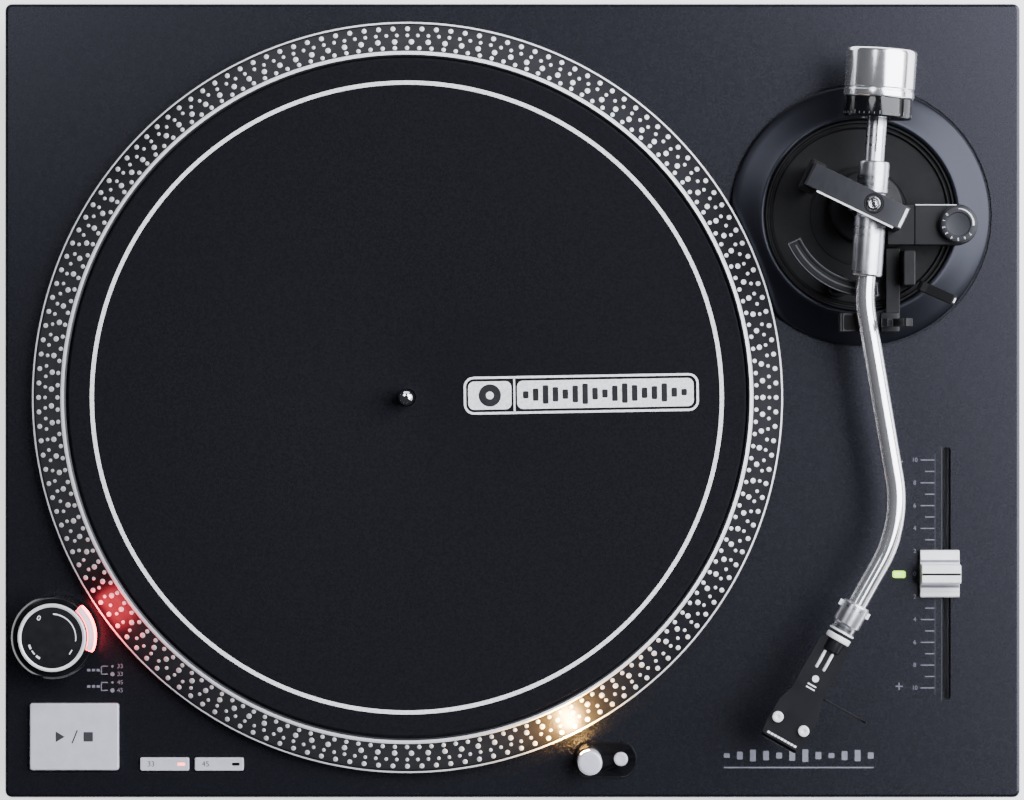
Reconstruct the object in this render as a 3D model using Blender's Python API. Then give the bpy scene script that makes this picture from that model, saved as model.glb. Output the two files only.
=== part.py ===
"""Belt-drive turntable record player, in metres, +Z up.

The origin is on the floor under the middle of the plinth: +X to the tonearm side, +Y to the back.
"""
from math import asin, cos, pi, radians, sin, tan

import bmesh
import bpy
from mathutils import Matrix, Vector

GAP = 0.0003                 # air between pieces that touch

# Plinth and what stands under it
PLINTH_WIDTH = 0.450
PLINTH_DEPTH = 0.352
PLINTH_TOP = 0.088
PLINTH_CORNER = 0.003
WALL = 0.004
CEILING = PLINTH_TOP - WALL
FOOT_HEIGHT = 0.0217
FOOT_PLACE = (0.186, 0.138)
EDGE_ROUNDING = ((0.0, 0.0014), (0.0004, 0.0004), (0.0014, 0.0))   # inwards, downwards
COVER_BOTTOM = FOOT_HEIGHT + GAP
COVER_TOP = 0.0277
SHELL_BOTTOM = COVER_TOP + GAP
BOARD_SIDES = (-0.215, -0.110, -0.168, -0.132)
BOARD_BOTTOM = 0.074
BOARD_THICKNESS = 0.0016
POST_RADIUS = 0.003

# Platter and drive
PLATTER_AT = (-0.0464, 0.0014)
PLATTER_RADIUS = 0.166
PLATTER_FLOOR = 0.092
PLATTER_FACE = 0.105
SPINDLE_RADIUS = 0.0036
SPINDLE_TIP = 0.121
MAT_RADIUS = 0.149
MAT_THICKNESS = 0.0028
DRUM_RADIUS = 0.081
PULLEY_RADIUS = 0.0068
PULLEY_REACH = 0.104
PULLEY_ANGLE = radians(150)
BELT_THICKNESS = 0.0008
BELT_BAND = (0.095, 0.099)
BEARING_RADIUS = 0.010
SHAFT_RADIUS = 0.0015
SHAFT_CLEARANCE = 0.002
MOTOR_RADIUS = 0.021
MOTOR_FLANGE = 0.026

# Controls
TOWER_AT = (-0.2018, -0.1039)
TOWER_RADIUS = 0.0184
TOWER_TOP = 0.1115
LENS_ARC = (radians(-20), radians(48))
KNOB_RADIUS = 0.015
STEM_RADIUS = 0.003
START_AT = (-0.194, -0.1488)
START_SIZE = (0.0394, 0.0297)
SPEED_AT = {"33": (-0.1541, -0.161), "45": (-0.1299, -0.161)}
SPEED_SIZE = (0.0217, 0.0059)
LAMP_AT = (0.0341, -0.1594)
LAMP_RADIUS = 0.0054
LAMP_TOP = 0.1065
LAMP_TRAVEL = 0.014
LAMP_WELL_RADIUS = 0.0075
LAMP_WELL_BOTTOM = 0.044
LAMP_BUTTON_AT = (0.048, -0.1587)
LAMP_BUTTON_RADIUS = 0.0031
BEZEL_CENTRE = (0.041, -0.159)
BEZEL_SIZE = (0.028, 0.016)
FADER_AT = (0.1925, -0.0766)
FADER_SLOT = (0.0029, 0.1112)
FADER_BODY = (0.016, 0.1204)
FADER_TRACK = 0.1124
PITCH_KNOB_X = 0.18915
PITCH_KNOB_SIZE = (0.0173, 0.0209)
PITCH_LIGHT_AT = (0.1714, -0.077)
PITCH_LIGHT_SIZE = (0.0055, 0.003)

# Tonearm base
PIVOT_AT = (0.1563, 0.0853)
BASE_AT = (0.1539, 0.0819)
ARM_HEIGHT = 0.128
BASE_RING_RADIUS = 0.0575
BASE_PLATE_RADIUS = 0.0422
RECESS_RADIUS = 0.0586
RECESS_FLOOR = 0.0865
PLATE_TOP = 0.0896
OVER_RING = 0.0944
YOKE_TURN = radians(-25.7)
YOKE_LEFT = -0.0306
YOKE_RIGHT = 0.0154
YOKE_WIDTH = 0.0104
YOKE_TOP = 0.1434
PEDESTAL_TOP = 0.100
LIFT_RADII = (0.0335, 0.040)
LIFT_ARC = (radians(204), radians(276))
LIFT_TOP = 0.1232
LIFT_POST_ANGLE = radians(250)
REST_CRADLE = (0.1424, 0.1607, 0.030, 0.0384)
CLIP_AT = (0.163, 0.034, 0.1318)
CLIP_OPEN = radians(125)
CUE_AT = (0.1806, 0.050, 0.108)
CUE_TURN = radians(-25.1)
CUE_RAISED = radians(25)
SKATE_KNOB_AT = (0.1959, 0.0775)
SKATE_KNOB_RADIUS = 0.0083

# Tonearm: it lies along -Y of its own frame, which is turned to where it parks
ARM_PARKED = radians(-4)
TUBE_RADIUS = 0.00425
SLEEVE_RADIUS = 0.0069
SLEEVE_FRONT = -0.0312
SLEEVE_BORE = 0.009
SLEEVE_REAR = 0.019
STUB_RADIUS = 0.00435
STUB_END = 0.056
RING_INNER = 0.0082
RING_OUTER = 0.010
FIRST_BEND_AT = 0.0425
FIRST_BEND = radians(13.6)
BETWEEN_BENDS = 0.0979
LAST_RUN = 0.1089
SECOND_BEND = radians(38.75)
BEND_RADII = (0.055, 0.058)
HEAD_TURN = FIRST_BEND - SECOND_BEND
COUNTERWEIGHT_RADIUS = 0.0154
DIAL_SPAN = (0.0379, 0.0464)
WEIGHT_SPAN = (0.0467, 0.0678)
STYLUS_TIP = 0.110

# Back wall
SOCKET_TRAY = (0.070, 0.150, 0.038, 0.068)
TRAY_DEPTH = 0.016
JACK_PLACES = {"left": 0.0925, "right": 0.1105}
JACK_HEIGHT = 0.053
GROUND_PLACE = 0.134
INLET_AT = (-0.155, 0.053)
INLET_SIZE = (0.026, 0.018)


def clear_scene():
    for old in list(bpy.data.objects):
        bpy.data.objects.remove(old, do_unlink=True)


def paint(name, colour, roughness, metallic=0.0):
    coat = bpy.data.materials.new(name)
    coat.use_nodes = True
    shader = coat.node_tree.nodes["Principled BSDF"]
    shader.inputs["Base Color"].default_value = (*colour, 1.0)
    shader.inputs["Roughness"].default_value = roughness
    shader.inputs["Metallic"].default_value = metallic
    return coat


def empty(name, at, turn=0.0, parent=None):
    holder = bpy.data.objects.new(name, None)
    holder.location = at
    holder.rotation_euler = (0.0, 0.0, turn)
    holder.parent = parent
    bpy.context.scene.collection.objects.link(holder)
    return holder


def circle(radius, height, centre=(0.0, 0.0), steps=48):
    turns = [2 * pi * i / steps for i in range(steps)]
    return [(centre[0] + radius * cos(t), centre[1] + radius * sin(t), height) for t in turns]


def rounded(width, depth, corner, height, centre=(0.0, 0.0), steps=4):
    """A rectangle with round corners, counter-clockwise, at one height."""
    ring = []
    for quarter, (sx, sy) in enumerate(((1, 1), (-1, 1), (-1, -1), (1, -1))):
        for i in range(steps + 1):
            t = (quarter + i / steps) * pi / 2
            x = centre[0] + sx * (width / 2 - corner) + corner * cos(t)
            y = centre[1] + sy * (depth / 2 - corner) + corner * sin(t)
            ring.append((x, y, height))
    return ring


def sector(inner, outer, arc, height, steps=10):
    """A slice of a flat ring between two angles, at one height."""
    turns = [arc[0] + (arc[1] - arc[0]) * i / steps for i in range(steps + 1)]
    out = [(outer * cos(t), outer * sin(t), height) for t in turns]
    back = [(inner * cos(t), inner * sin(t), height) for t in reversed(turns)]
    return out + back


def loft(rings, hollow=False):
    """Skin over rings of equally many points. A hollow loft also joins its last ring to its first."""
    shape = bmesh.new()
    loops = [[shape.verts.new(p) for p in ring] for ring in rings]
    pairs = list(zip(loops, loops[1:]))
    if hollow:
        pairs.append((loops[-1], loops[0]))
    else:
        shape.faces.new(loops[0])
        shape.faces.new(loops[-1])
    count = len(loops[0])
    for low, high in pairs:
        for i in range(count):
            j = (i + 1) % count
            shape.faces.new((low[i], low[j], high[j], high[i]))
    bmesh.ops.recalc_face_normals(shape, faces=shape.faces)
    return shape


def turned(profile, steps=48, hollow=False, centre=(0.0, 0.0)):
    """A turned piece about Z from (radius, height) points."""
    return loft([circle(r, z, centre, steps) for r, z in profile], hollow)


def box(x0, x1, y0, y1, z0, z1):
    corners = ((x0, y0), (x1, y0), (x1, y1), (x0, y1))
    return loft([[(x, y, z) for x, y in corners] for z in (z0, z1)])


def extruded(outline, start, end, plane="XY"):
    """An outline pushed along the axis that its plane leaves out."""
    place = {"XY": lambda a, b, c: (a, b, c), "XZ": lambda a, b, c: (a, c, b),
             "YZ": lambda a, b, c: (c, a, b)}[plane]
    return loft([[place(a, b, c) for a, b in outline] for c in (start, end)])


def moved(shape, offset):
    bmesh.ops.translate(shape, verts=shape.verts, vec=offset)
    return shape


def lying(shape, towards="Y"):
    """A piece turned about Z, laid down so that its axis runs along Y or X."""
    turn = Matrix.Rotation(-pi / 2, 3, "X") if towards == "Y" else Matrix.Rotation(pi / 2, 3, "Y")
    bmesh.ops.rotate(shape, verts=shape.verts, cent=(0, 0, 0), matrix=turn)
    return shape


def place(name, shape, at=(0.0, 0.0, 0.0), coat=None, parent=None, smooth=40):
    mesh = bpy.data.meshes.new(name)
    shape.to_mesh(mesh)
    shape.free()
    mesh.shade_smooth()
    mesh.set_sharp_from_angle(angle=radians(smooth))
    piece = bpy.data.objects.new(name, mesh)
    piece.location = at
    piece.parent = parent
    if coat:
        mesh.materials.append(coat)
    bpy.context.scene.collection.objects.link(piece)
    return piece


def combine(piece, shapes, operation):
    """Add or cut shapes, given in the piece's own frame. They may touch the piece, not each other."""
    whole = bmesh.new()
    for shape in shapes:
        part = bpy.data.meshes.new("part")
        shape.to_mesh(part)
        shape.free()
        whole.from_mesh(part)
        bpy.data.meshes.remove(part)
    tool = place(f"{piece.name}_{operation.lower()}_tool", whole, piece.location, None, piece.parent)
    tool.rotation_euler = piece.rotation_euler
    tool.hide_render = True
    tool.display_type = "WIRE"
    modifier = piece.modifiers.new(operation.title(), "BOOLEAN")
    modifier.operation = operation
    modifier.object = tool
    modifier.solver = "EXACT"


def pulley_place():
    x = PLATTER_AT[0] + PULLEY_REACH * cos(PULLEY_ANGLE)
    y = PLATTER_AT[1] + PULLEY_REACH * sin(PULLEY_ANGLE)
    return x, y


def build_casing(coats):
    levels = [(0.0, SHELL_BOTTOM)] + [(inwards, PLINTH_TOP - down) for inwards, down in EDGE_ROUNDING]
    rings = [rounded(PLINTH_WIDTH - 2 * i, PLINTH_DEPTH - 2 * i, PLINTH_CORNER - i, z) for i, z in levels]
    plinth = place("plinth_shell", loft(rings), coat=coats["plinth"])
    inside = (PLINTH_WIDTH - 2 * WALL, PLINTH_DEPTH - 2 * WALL)
    cavity = loft([rounded(*inside, PLINTH_CORNER, z) for z in (SHELL_BOTTOM - 0.01, CEILING)])
    combine(plinth, [cavity], "DIFFERENCE")
    below, above = CEILING - 0.005, PLINTH_TOP + 0.005

    def window(at, size):
        grown = [side + 2 * GAP for side in size]
        return loft([rounded(*grown, 0.0012, z, at) for z in (below, above)])

    def hole(at, radius, bottom=below):
        return turned(((radius, bottom), (radius, above)), 20, centre=at)

    back = PLINTH_DEPTH / 2
    x0, x1, z0, z1 = SOCKET_TRAY
    inlet = [side / 2 + GAP for side in INLET_SIZE]
    cuts = [
        turned(((RECESS_RADIUS, RECESS_FLOOR), (RECESS_RADIUS, above)), 48, centre=BASE_AT),
        hole(PLATTER_AT, BEARING_RADIUS + GAP),
        hole(pulley_place(), SHAFT_RADIUS + SHAFT_CLEARANCE),
        hole(LAMP_AT, LAMP_WELL_RADIUS + GAP),
        hole(LAMP_BUTTON_AT, LAMP_BUTTON_RADIUS + 0.0005),
        window(START_AT, START_SIZE),
        window(FADER_AT, FADER_SLOT),
        window(PITCH_LIGHT_AT, PITCH_LIGHT_SIZE),
        box(x0 - GAP, x1 + GAP, back - 0.008, back + 0.002, z0 - GAP, z1 + GAP),
        box(INLET_AT[0] - inlet[0], INLET_AT[0] + inlet[0], back - 0.008, back + 0.002,
            INLET_AT[1] - inlet[1], INLET_AT[1] + inlet[1]),
    ]
    cuts += [window(at, SPEED_SIZE) for at in SPEED_AT.values()]
    combine(plinth, cuts, "DIFFERENCE")

    margin = 0.005
    slab = (PLINTH_WIDTH - 2 * margin, PLINTH_DEPTH - 2 * margin)
    cover = place("base_cover", loft([rounded(*slab, 0.004, z) for z in (COVER_BOTTOM, COVER_TOP)]),
                  coat=coats["black"])
    x0, x1, y0, y1 = BOARD_SIDES
    inset = 0.004
    posts = [turned(((POST_RADIUS, COVER_TOP - 0.001), (POST_RADIUS, BOARD_BOTTOM - GAP)), 12, centre=(x, y))
             for x in (x0 + inset, x1 - inset) for y in (y0 + inset, y1 - inset)]
    combine(cover, posts, "UNION")

    outline = ((0.021, 0.0), (0.0225, 0.0015), (0.0225, 0.008), (0.019, 0.0095), (0.019, 0.012),
               (0.024, 0.0135), (0.024, FOOT_HEIGHT))
    for row, sy in (("front", -1), ("rear", 1)):
        for side, sx in (("left", -1), ("right", 1)):
            place(f"foot_{row}_{side}", turned(outline, 20),
                  (sx * FOOT_PLACE[0], sy * FOOT_PLACE[1], 0.0), coats["rubber"])


def build_drive(coats):
    pivot = empty("platter_axis", (*PLATTER_AT, 0.0))
    bore = SPINDLE_RADIUS + GAP
    profile = ((bore, PLATTER_FLOOR), (0.014, PLATTER_FLOOR), (0.014, 0.1005), (DRUM_RADIUS - 0.004, 0.1005),
               (DRUM_RADIUS - 0.004, 0.0935), (DRUM_RADIUS, 0.0935), (DRUM_RADIUS, 0.1005), (0.149, 0.1005),
               (0.149, 0.0925), (0.1648, PLATTER_FLOOR), (PLATTER_RADIUS, 0.0928), (PLATTER_RADIUS, 0.0942),
               (0.1524, 0.1064), (0.1518, 0.1072), (0.1508, 0.1075), (0.1497, 0.107),
               (0.1496, PLATTER_FACE), (bore, PLATTER_FACE))
    place("platter", turned(profile, 60, hollow=True), coat=coats["platter"], parent=pivot, smooth=25)
    tip = ((SPINDLE_RADIUS, 0.0553), (SPINDLE_RADIUS, 0.1175), (0.0031, 0.1195), (0.0018, SPINDLE_TIP))
    place("spindle", turned(tip, 16), coat=coats["steel"], parent=pivot)
    low = PLATTER_FACE + GAP
    felt = ((bore, low), (MAT_RADIUS, low), (MAT_RADIUS, low + MAT_THICKNESS - 0.0005),
            (MAT_RADIUS - 0.0005, low + MAT_THICKNESS), (bore, low + MAT_THICKNESS))
    place("slipmat", turned(felt, 48, hollow=True), coat=coats["felt"], parent=pivot)

    flange = CEILING - GAP
    edge, under = BEARING_RADIUS, PLATTER_FLOOR - GAP
    bearing = ((bore, 0.055), (bore, under), (edge, under), (edge, flange), (2 * edge, flange),
               (2 * edge, flange - 0.003), (edge, flange - 0.003), (edge, 0.050))
    place("main_bearing", turned(bearing, 16), (*PLATTER_AT, 0.0), coats["steel"])

    at = (*pulley_place(), 0.0)
    eye = SHAFT_RADIUS + GAP
    can = ((eye, 0.078), (eye, flange), (MOTOR_FLANGE, flange), (MOTOR_FLANGE, flange - 0.002),
           (MOTOR_RADIUS, flange - 0.002), (MOTOR_RADIUS, 0.046), (MOTOR_RADIUS - 0.002, 0.044))
    place("motor", turned(can, 18), at, coats["steel"])
    rim = PULLEY_RADIUS + 0.001
    crown = ((SHAFT_RADIUS, 0.079), (SHAFT_RADIUS, 0.0925), (rim, 0.0925), (rim, 0.0938),
             (PULLEY_RADIUS, 0.0942), (PULLEY_RADIUS, 0.0996), (0.0055, 0.1))
    place("motor_pulley", turned(crown, 16), at, coats["steel"])

    def loop(offset, height):
        """The path round drum and pulley, a given distance off both, at one height."""
        big, small = DRUM_RADIUS + offset, PULLEY_RADIUS + offset
        lean = asin((big - small) / PULLEY_REACH)
        ring = []
        for centre, radius, start, end, steps in (
                (PLATTER_AT, big, pi / 2 - lean, 1.5 * pi + lean, 32),
                (pulley_place(), small, -pi / 2 + lean, pi / 2 - lean, 7)):
            for i in range(steps + 1):
                t = PULLEY_ANGLE + start + (end - start) * i / steps
                ring.append((centre[0] + radius * cos(t), centre[1] + radius * sin(t), height))
        return ring

    near, far = GAP, GAP + BELT_THICKNESS
    rings = [loop(near, BELT_BAND[0]), loop(far, BELT_BAND[0]), loop(far, BELT_BAND[1]),
             loop(near, BELT_BAND[1])]
    place("drive_belt", loft(rings, hollow=True), coat=coats["rubber"])

    board = box(*BOARD_SIDES, BOARD_BOTTOM, BOARD_BOTTOM + BOARD_THICKNESS)
    place("control_board", board, coat=coats["board"])
    low = COVER_TOP + GAP
    core = loft([rounded(0.060, 0.046, 0.004, z, (-0.150, 0.120)) for z in (low, 0.062)])
    place("power_transformer", core, coat=coats["steel"])


def build_controls(coats):
    low = PLINTH_TOP + GAP
    tower = place("strobe_tower", turned(((TOWER_RADIUS, low), (TOWER_RADIUS, 0.1098),
                                          (0.0174, TOWER_TOP)), 32), (*TOWER_AT, 0.0), coats["black"])
    arc = (LENS_ARC[0] - 0.02, LENS_ARC[1] + 0.02)
    pocket = loft([sector(0.0152, 0.021, arc, z) for z in (0.0967, 0.12)])
    socket = turned(((STEM_RADIUS + GAP, 0.1), (STEM_RADIUS + GAP, 0.12)), 12)
    combine(tower, [pocket, socket], "DIFFERENCE")
    slope = [sector(0.0155, outer, LENS_ARC, z) for outer, z in ((0.0182, 0.097), (0.0182, 0.1055),
                                                               (0.0168, 0.1095))]
    place("strobe_lens", loft(slope), (*TOWER_AT, 0.0), coats["lens"])
    under = TOWER_TOP + GAP
    knob = ((STEM_RADIUS, 0.1005), (STEM_RADIUS, under), (KNOB_RADIUS, under), (KNOB_RADIUS, 0.1151),
            (KNOB_RADIUS - 0.0006, 0.1157))
    place("power_knob", turned(knob, 28), (*TOWER_AT, 0.0), coats["black"])

    def key(name, at, size, top, coat, corner=0.0012):
        edge = 0.0006
        rings = [rounded(size[0] - 2 * i, size[1] - 2 * i, corner - i, z, steps=2)
                 for i, z in ((0.0, 0.0), (0.0, top - edge - 0.0843), (edge, top - 0.0843))]
        place(name, loft(rings), (*at, 0.0843), coat)

    key("start_stop_button", START_AT, START_SIZE, 0.0909, coats["silver"])
    for speed, at in SPEED_AT.items():
        key(f"speed_button_{speed}", at, SPEED_SIZE, 0.0896, coats["silver"])
    key("pitch_light", PITCH_LIGHT_AT, PITCH_LIGHT_SIZE, 0.0885, coats["green"])

    top = 0.0898
    housing = place("lamp_housing", loft([rounded(BEZEL_SIZE[0] - 2 * i, BEZEL_SIZE[1] - 2 * i,
                                                  BEZEL_SIZE[1] / 2 - 0.0001 - i, z, BEZEL_CENTRE, 8)
                                          for i, z in ((0.0, low), (0.0, top - 0.0004), (0.0004, top))]),
                    coat=coats["black"])
    tube = turned(((LAMP_WELL_RADIUS, LAMP_WELL_BOTTOM - 0.002), (LAMP_WELL_RADIUS, top - 0.0008)), 20,
                  centre=LAMP_AT)
    combine(housing, [tube], "UNION")
    well = turned(((LAMP_RADIUS + GAP, LAMP_WELL_BOTTOM), (LAMP_RADIUS + GAP, 0.095)), 20, centre=LAMP_AT)
    press = LAMP_BUTTON_RADIUS + GAP
    hole = turned(((press, 0.087), (press, 0.095)), 16, centre=LAMP_BUTTON_AT)
    combine(housing, [well, hole], "DIFFERENCE")
    lamp = ((LAMP_RADIUS, LAMP_WELL_BOTTOM + LAMP_TRAVEL + GAP), (LAMP_RADIUS, LAMP_TOP - 0.0006),
            (LAMP_RADIUS - 0.0006, LAMP_TOP))
    place("target_lamp", turned(lamp, 20), (*LAMP_AT, 0.0), coats["silver"])
    tip = ((LAMP_BUTTON_RADIUS, 0.084), (LAMP_BUTTON_RADIUS, 0.0908), (LAMP_BUTTON_RADIUS - 0.0005, 0.0913))
    place("lamp_button", turned(tip, 16), (*LAMP_BUTTON_AT, 0.0), coats["silver"])

    x, y = FADER_AT
    roof = CEILING - GAP
    half, reach = (side / 2 for side in FADER_BODY)
    body = place("pitch_fader_body", box(x - half, x + half, y - reach, y + reach, 0.070, roof),
                 coat=coats["steel"])
    half, reach = FADER_SLOT[0] / 2 + GAP, FADER_TRACK / 2
    combine(body, [box(x - half, x + half, y - reach, y + reach, 0.073, 0.09)], "DIFFERENCE")
    half = PITCH_KNOB_SIZE[1] / 2
    side = ((-half, 0.0886), (half, 0.0886), (half, 0.0912), (half - 0.0006, 0.0919), (0.0049, 0.0924),
            (0.0042, 0.1003), (0.0035, 0.101), (-0.0035, 0.101), (-0.0042, 0.1003), (-0.0049, 0.0924),
            (0.0006 - half, 0.0919), (-half, 0.0912))
    half = PITCH_KNOB_SIZE[0] / 2
    knob = place("pitch_knob", extruded(side, -half, half, "YZ"), (PITCH_KNOB_X, y, 0.0), coats["white"])
    shift = x - PITCH_KNOB_X
    combine(knob, [box(shift - 0.0008, shift + 0.0008, -0.004, 0.004, 0.076, 0.0892)], "UNION")


def build_arm_base(coats):
    at = (*PIVOT_AT, 0.0)
    base = (*BASE_AT, 0.0)
    low = RECESS_FLOOR + GAP
    inner = BASE_PLATE_RADIUS + GAP
    slope = ((inner, low), (BASE_RING_RADIUS, low), (BASE_RING_RADIUS, 0.0888), (0.0569, 0.0894),
             (0.0505, 0.0913), (0.0448, 0.0931), (0.0434, 0.0934), (inner, 0.0929))
    place("arm_base_ring", turned(slope, 48, hollow=True), base, coats["plinth"])
    disc = turned(((BASE_PLATE_RADIUS, low), (BASE_PLATE_RADIUS, PLATE_TOP)), 40)
    plate = place("arm_base_plate", disc, base, coats["black"])
    middle = sum(LIFT_RADII) / 2
    post_at = (middle * cos(LIFT_POST_ANGLE), middle * sin(LIFT_POST_ANGLE))
    post = 0.003
    guide_at = (PIVOT_AT[0] + post_at[0] - BASE_AT[0], PIVOT_AT[1] + post_at[1] - BASE_AT[1])
    combine(plate, [turned(((0.005, PLATE_TOP - 0.001), (0.005, 0.102)), 16, centre=guide_at)], "UNION")
    combine(plate, [turned(((post + GAP, 0.0895), (post + GAP, 0.105)), 14, centre=guide_at)], "DIFFERENCE")

    foot = PLATE_TOP + GAP
    pedestal = ((0.0165, foot), (0.0165, PEDESTAL_TOP - 0.001), (0.0155, PEDESTAL_TOP), (0.008, PEDESTAL_TOP),
                (0.008, 0.112), (0.006, 0.114), (0.002, 0.1145), (0.0012, ARM_HEIGHT - RING_OUTER - GAP))
    place("pivot_pedestal", turned(pedestal, 20), at, coats["black"])

    bar = 0.1386
    arch = ((YOKE_LEFT, foot), (YOKE_LEFT + 0.0046, foot), (YOKE_LEFT + 0.0046, bar),
            (YOKE_RIGHT - 0.0042, bar), (YOKE_RIGHT - 0.0042, PEDESTAL_TOP + GAP),
            (YOKE_RIGHT, PEDESTAL_TOP + GAP), (YOKE_RIGHT, YOKE_TOP - 0.001), (YOKE_RIGHT - 0.001, YOKE_TOP),
            (YOKE_LEFT + 0.001, YOKE_TOP), (YOKE_LEFT, YOKE_TOP - 0.001))
    yoke = place("gimbal_yoke", extruded(arch, -YOKE_WIDTH / 2, YOKE_WIDTH / 2, "XZ"), at, coats["black"])
    yoke.rotation_euler = (0.0, 0.0, YOKE_TURN)
    screw = 0.0031
    bore = ((screw + GAP, 0.136), (screw + GAP, 0.1426), (0.0042, 0.1426), (0.0042, 0.145))
    combine(yoke, [turned(bore, 16)], "DIFFERENCE")
    tip = ARM_HEIGHT + RING_OUTER + GAP
    pin = ((0.0012, tip), (screw, tip + 0.0016), (screw, 0.1436), (screw - 0.0004, 0.144))
    place("yoke_pivot_screw", turned(pin, 16), at, coats["steel"])

    arc = loft([sector(*LIFT_RADII, LIFT_ARC, z, 12) for z in (LIFT_TOP - 0.004, LIFT_TOP)])
    lift = place("lift_platform", arc, at, coats["black"])
    combine(lift, [turned(((post, 0.0955), (post, LIFT_TOP - 0.002)), 14, centre=post_at)], "UNION")

    x0, x1, y0, y1 = REST_CRADLE
    tray = ((x0, 0.1195), (x1 + 0.0038, 0.1195), (x1 + 0.0038, 0.0955), (x1 + 0.0078, 0.0955),
            (x1 + 0.0078, 0.1265), (x1 + 0.0068, 0.1275), (x1 + 0.0008, 0.1275), (x1, 0.1267),
            (x1, LIFT_TOP), (x0 + 0.0015, LIFT_TOP), (x0, 0.1235))
    rest = place("arm_rest", extruded(tray, y0, y1, "XZ"), coat=coats["black"])
    spar = ((0.0305, OVER_RING), (0.048, OVER_RING), (0.048, foot), (0.0675, foot), (0.0675, 0.098),
            (0.0305, 0.098))
    combine(rest, [extruded(spar, 0.1647, 0.1711, "YZ")], "UNION")

    hinge = Vector(CLIP_AT)
    hook = ((0.0021, -0.0021), (0.0021, 0.003), (0.0012, 0.0036), (-0.0133, 0.0034), (-0.0139, 0.0028),
            (-0.0139, -0.001), (-0.0122, -0.001), (-0.0122, 0.002), (-0.0016, 0.002), (-0.0016, -0.0012))
    clip = place("arm_clip", extruded(hook, -0.0018, 0.0018, "XZ"), hinge, coats["black"])
    clip.rotation_euler = (0.0, CLIP_OPEN, 0.0)

    place("cue_housing", loft([rounded(0.0053, 0.0155, 0.0008, z, (0.17415, 0.05825), 2)
                               for z in (foot, 0.113)]), coat=coats["black"])
    side = ((-0.0022, -0.0016), (0.0, -0.0024), (0.0024, -0.0016), (0.0155, -0.0013), (0.0165, 0.0),
            (0.0155, 0.0013), (0.0024, 0.0016), (0.0, 0.0024), (-0.0022, 0.0016))
    lever = place("cue_lever", extruded(side, -0.0022, 0.0022, "XZ"), CUE_AT, coats["black"])
    lever.rotation_euler = (0.0, -CUE_RAISED, CUE_TURN)

    x, y = SKATE_KNOB_AT
    half = 0.009
    bends = [(-pi / 2 + pi * i / 12) for i in range(13)]
    outline = [(0.177, y + half), (0.177, y - half)] + [(x + half * cos(t), y + half * sin(t)) for t in bends]
    block = place("antiskate_block", extruded(outline, OVER_RING, 0.104), coat=coats["black"])
    inset = half - 0.0005
    combine(block, [box(0.1775, 0.191, y - inset, y + inset, foot, OVER_RING + 0.002)], "UNION")
    stem = 0.0025
    combine(block, [turned(((stem + GAP, 0.0975), (stem + GAP, 0.11)), 12, centre=SKATE_KNOB_AT)],
            "DIFFERENCE")
    edge = SKATE_KNOB_RADIUS
    knob = ((stem, 0.098), (stem, 0.104 + GAP), (edge, 0.104 + GAP), (edge, 0.1092), (edge - 0.0008, 0.11))
    place("antiskate_knob", turned(knob, 20), (*SKATE_KNOB_AT, 0.0), coats["black"])


def arm_path():
    """Centre line of the S-shaped tube in the arm's frame, from inside the sleeve to the collar."""
    corner_a = Vector((0.0, -FIRST_BEND_AT))
    run = Vector((sin(FIRST_BEND), -cos(FIRST_BEND)))
    corner_b = corner_a + BETWEEN_BENDS * run
    last = Vector((sin(HEAD_TURN), -cos(HEAD_TURN)))
    points = [Vector((0.0, SLEEVE_FRONT + SLEEVE_BORE - GAP))]
    for corner, before, turn, radius in ((corner_a, Vector((0.0, -1.0)), FIRST_BEND, BEND_RADII[0]),
                                         (corner_b, run, -SECOND_BEND, BEND_RADII[1])):
        start = corner - before * radius * tan(abs(turn) / 2)
        side = Vector((-before.y, before.x)) * (1 if turn > 0 else -1)
        centre = start + side * radius
        steps = max(3, round(abs(turn) / radians(5)))
        for i in range(steps + 1):
            swing = Matrix.Rotation(turn * i / steps, 2)
            points.append(centre + swing @ (start - centre))
    points.append(corner_b + last * (LAST_RUN - 0.0546))
    return points, corner_b + last * LAST_RUN


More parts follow.
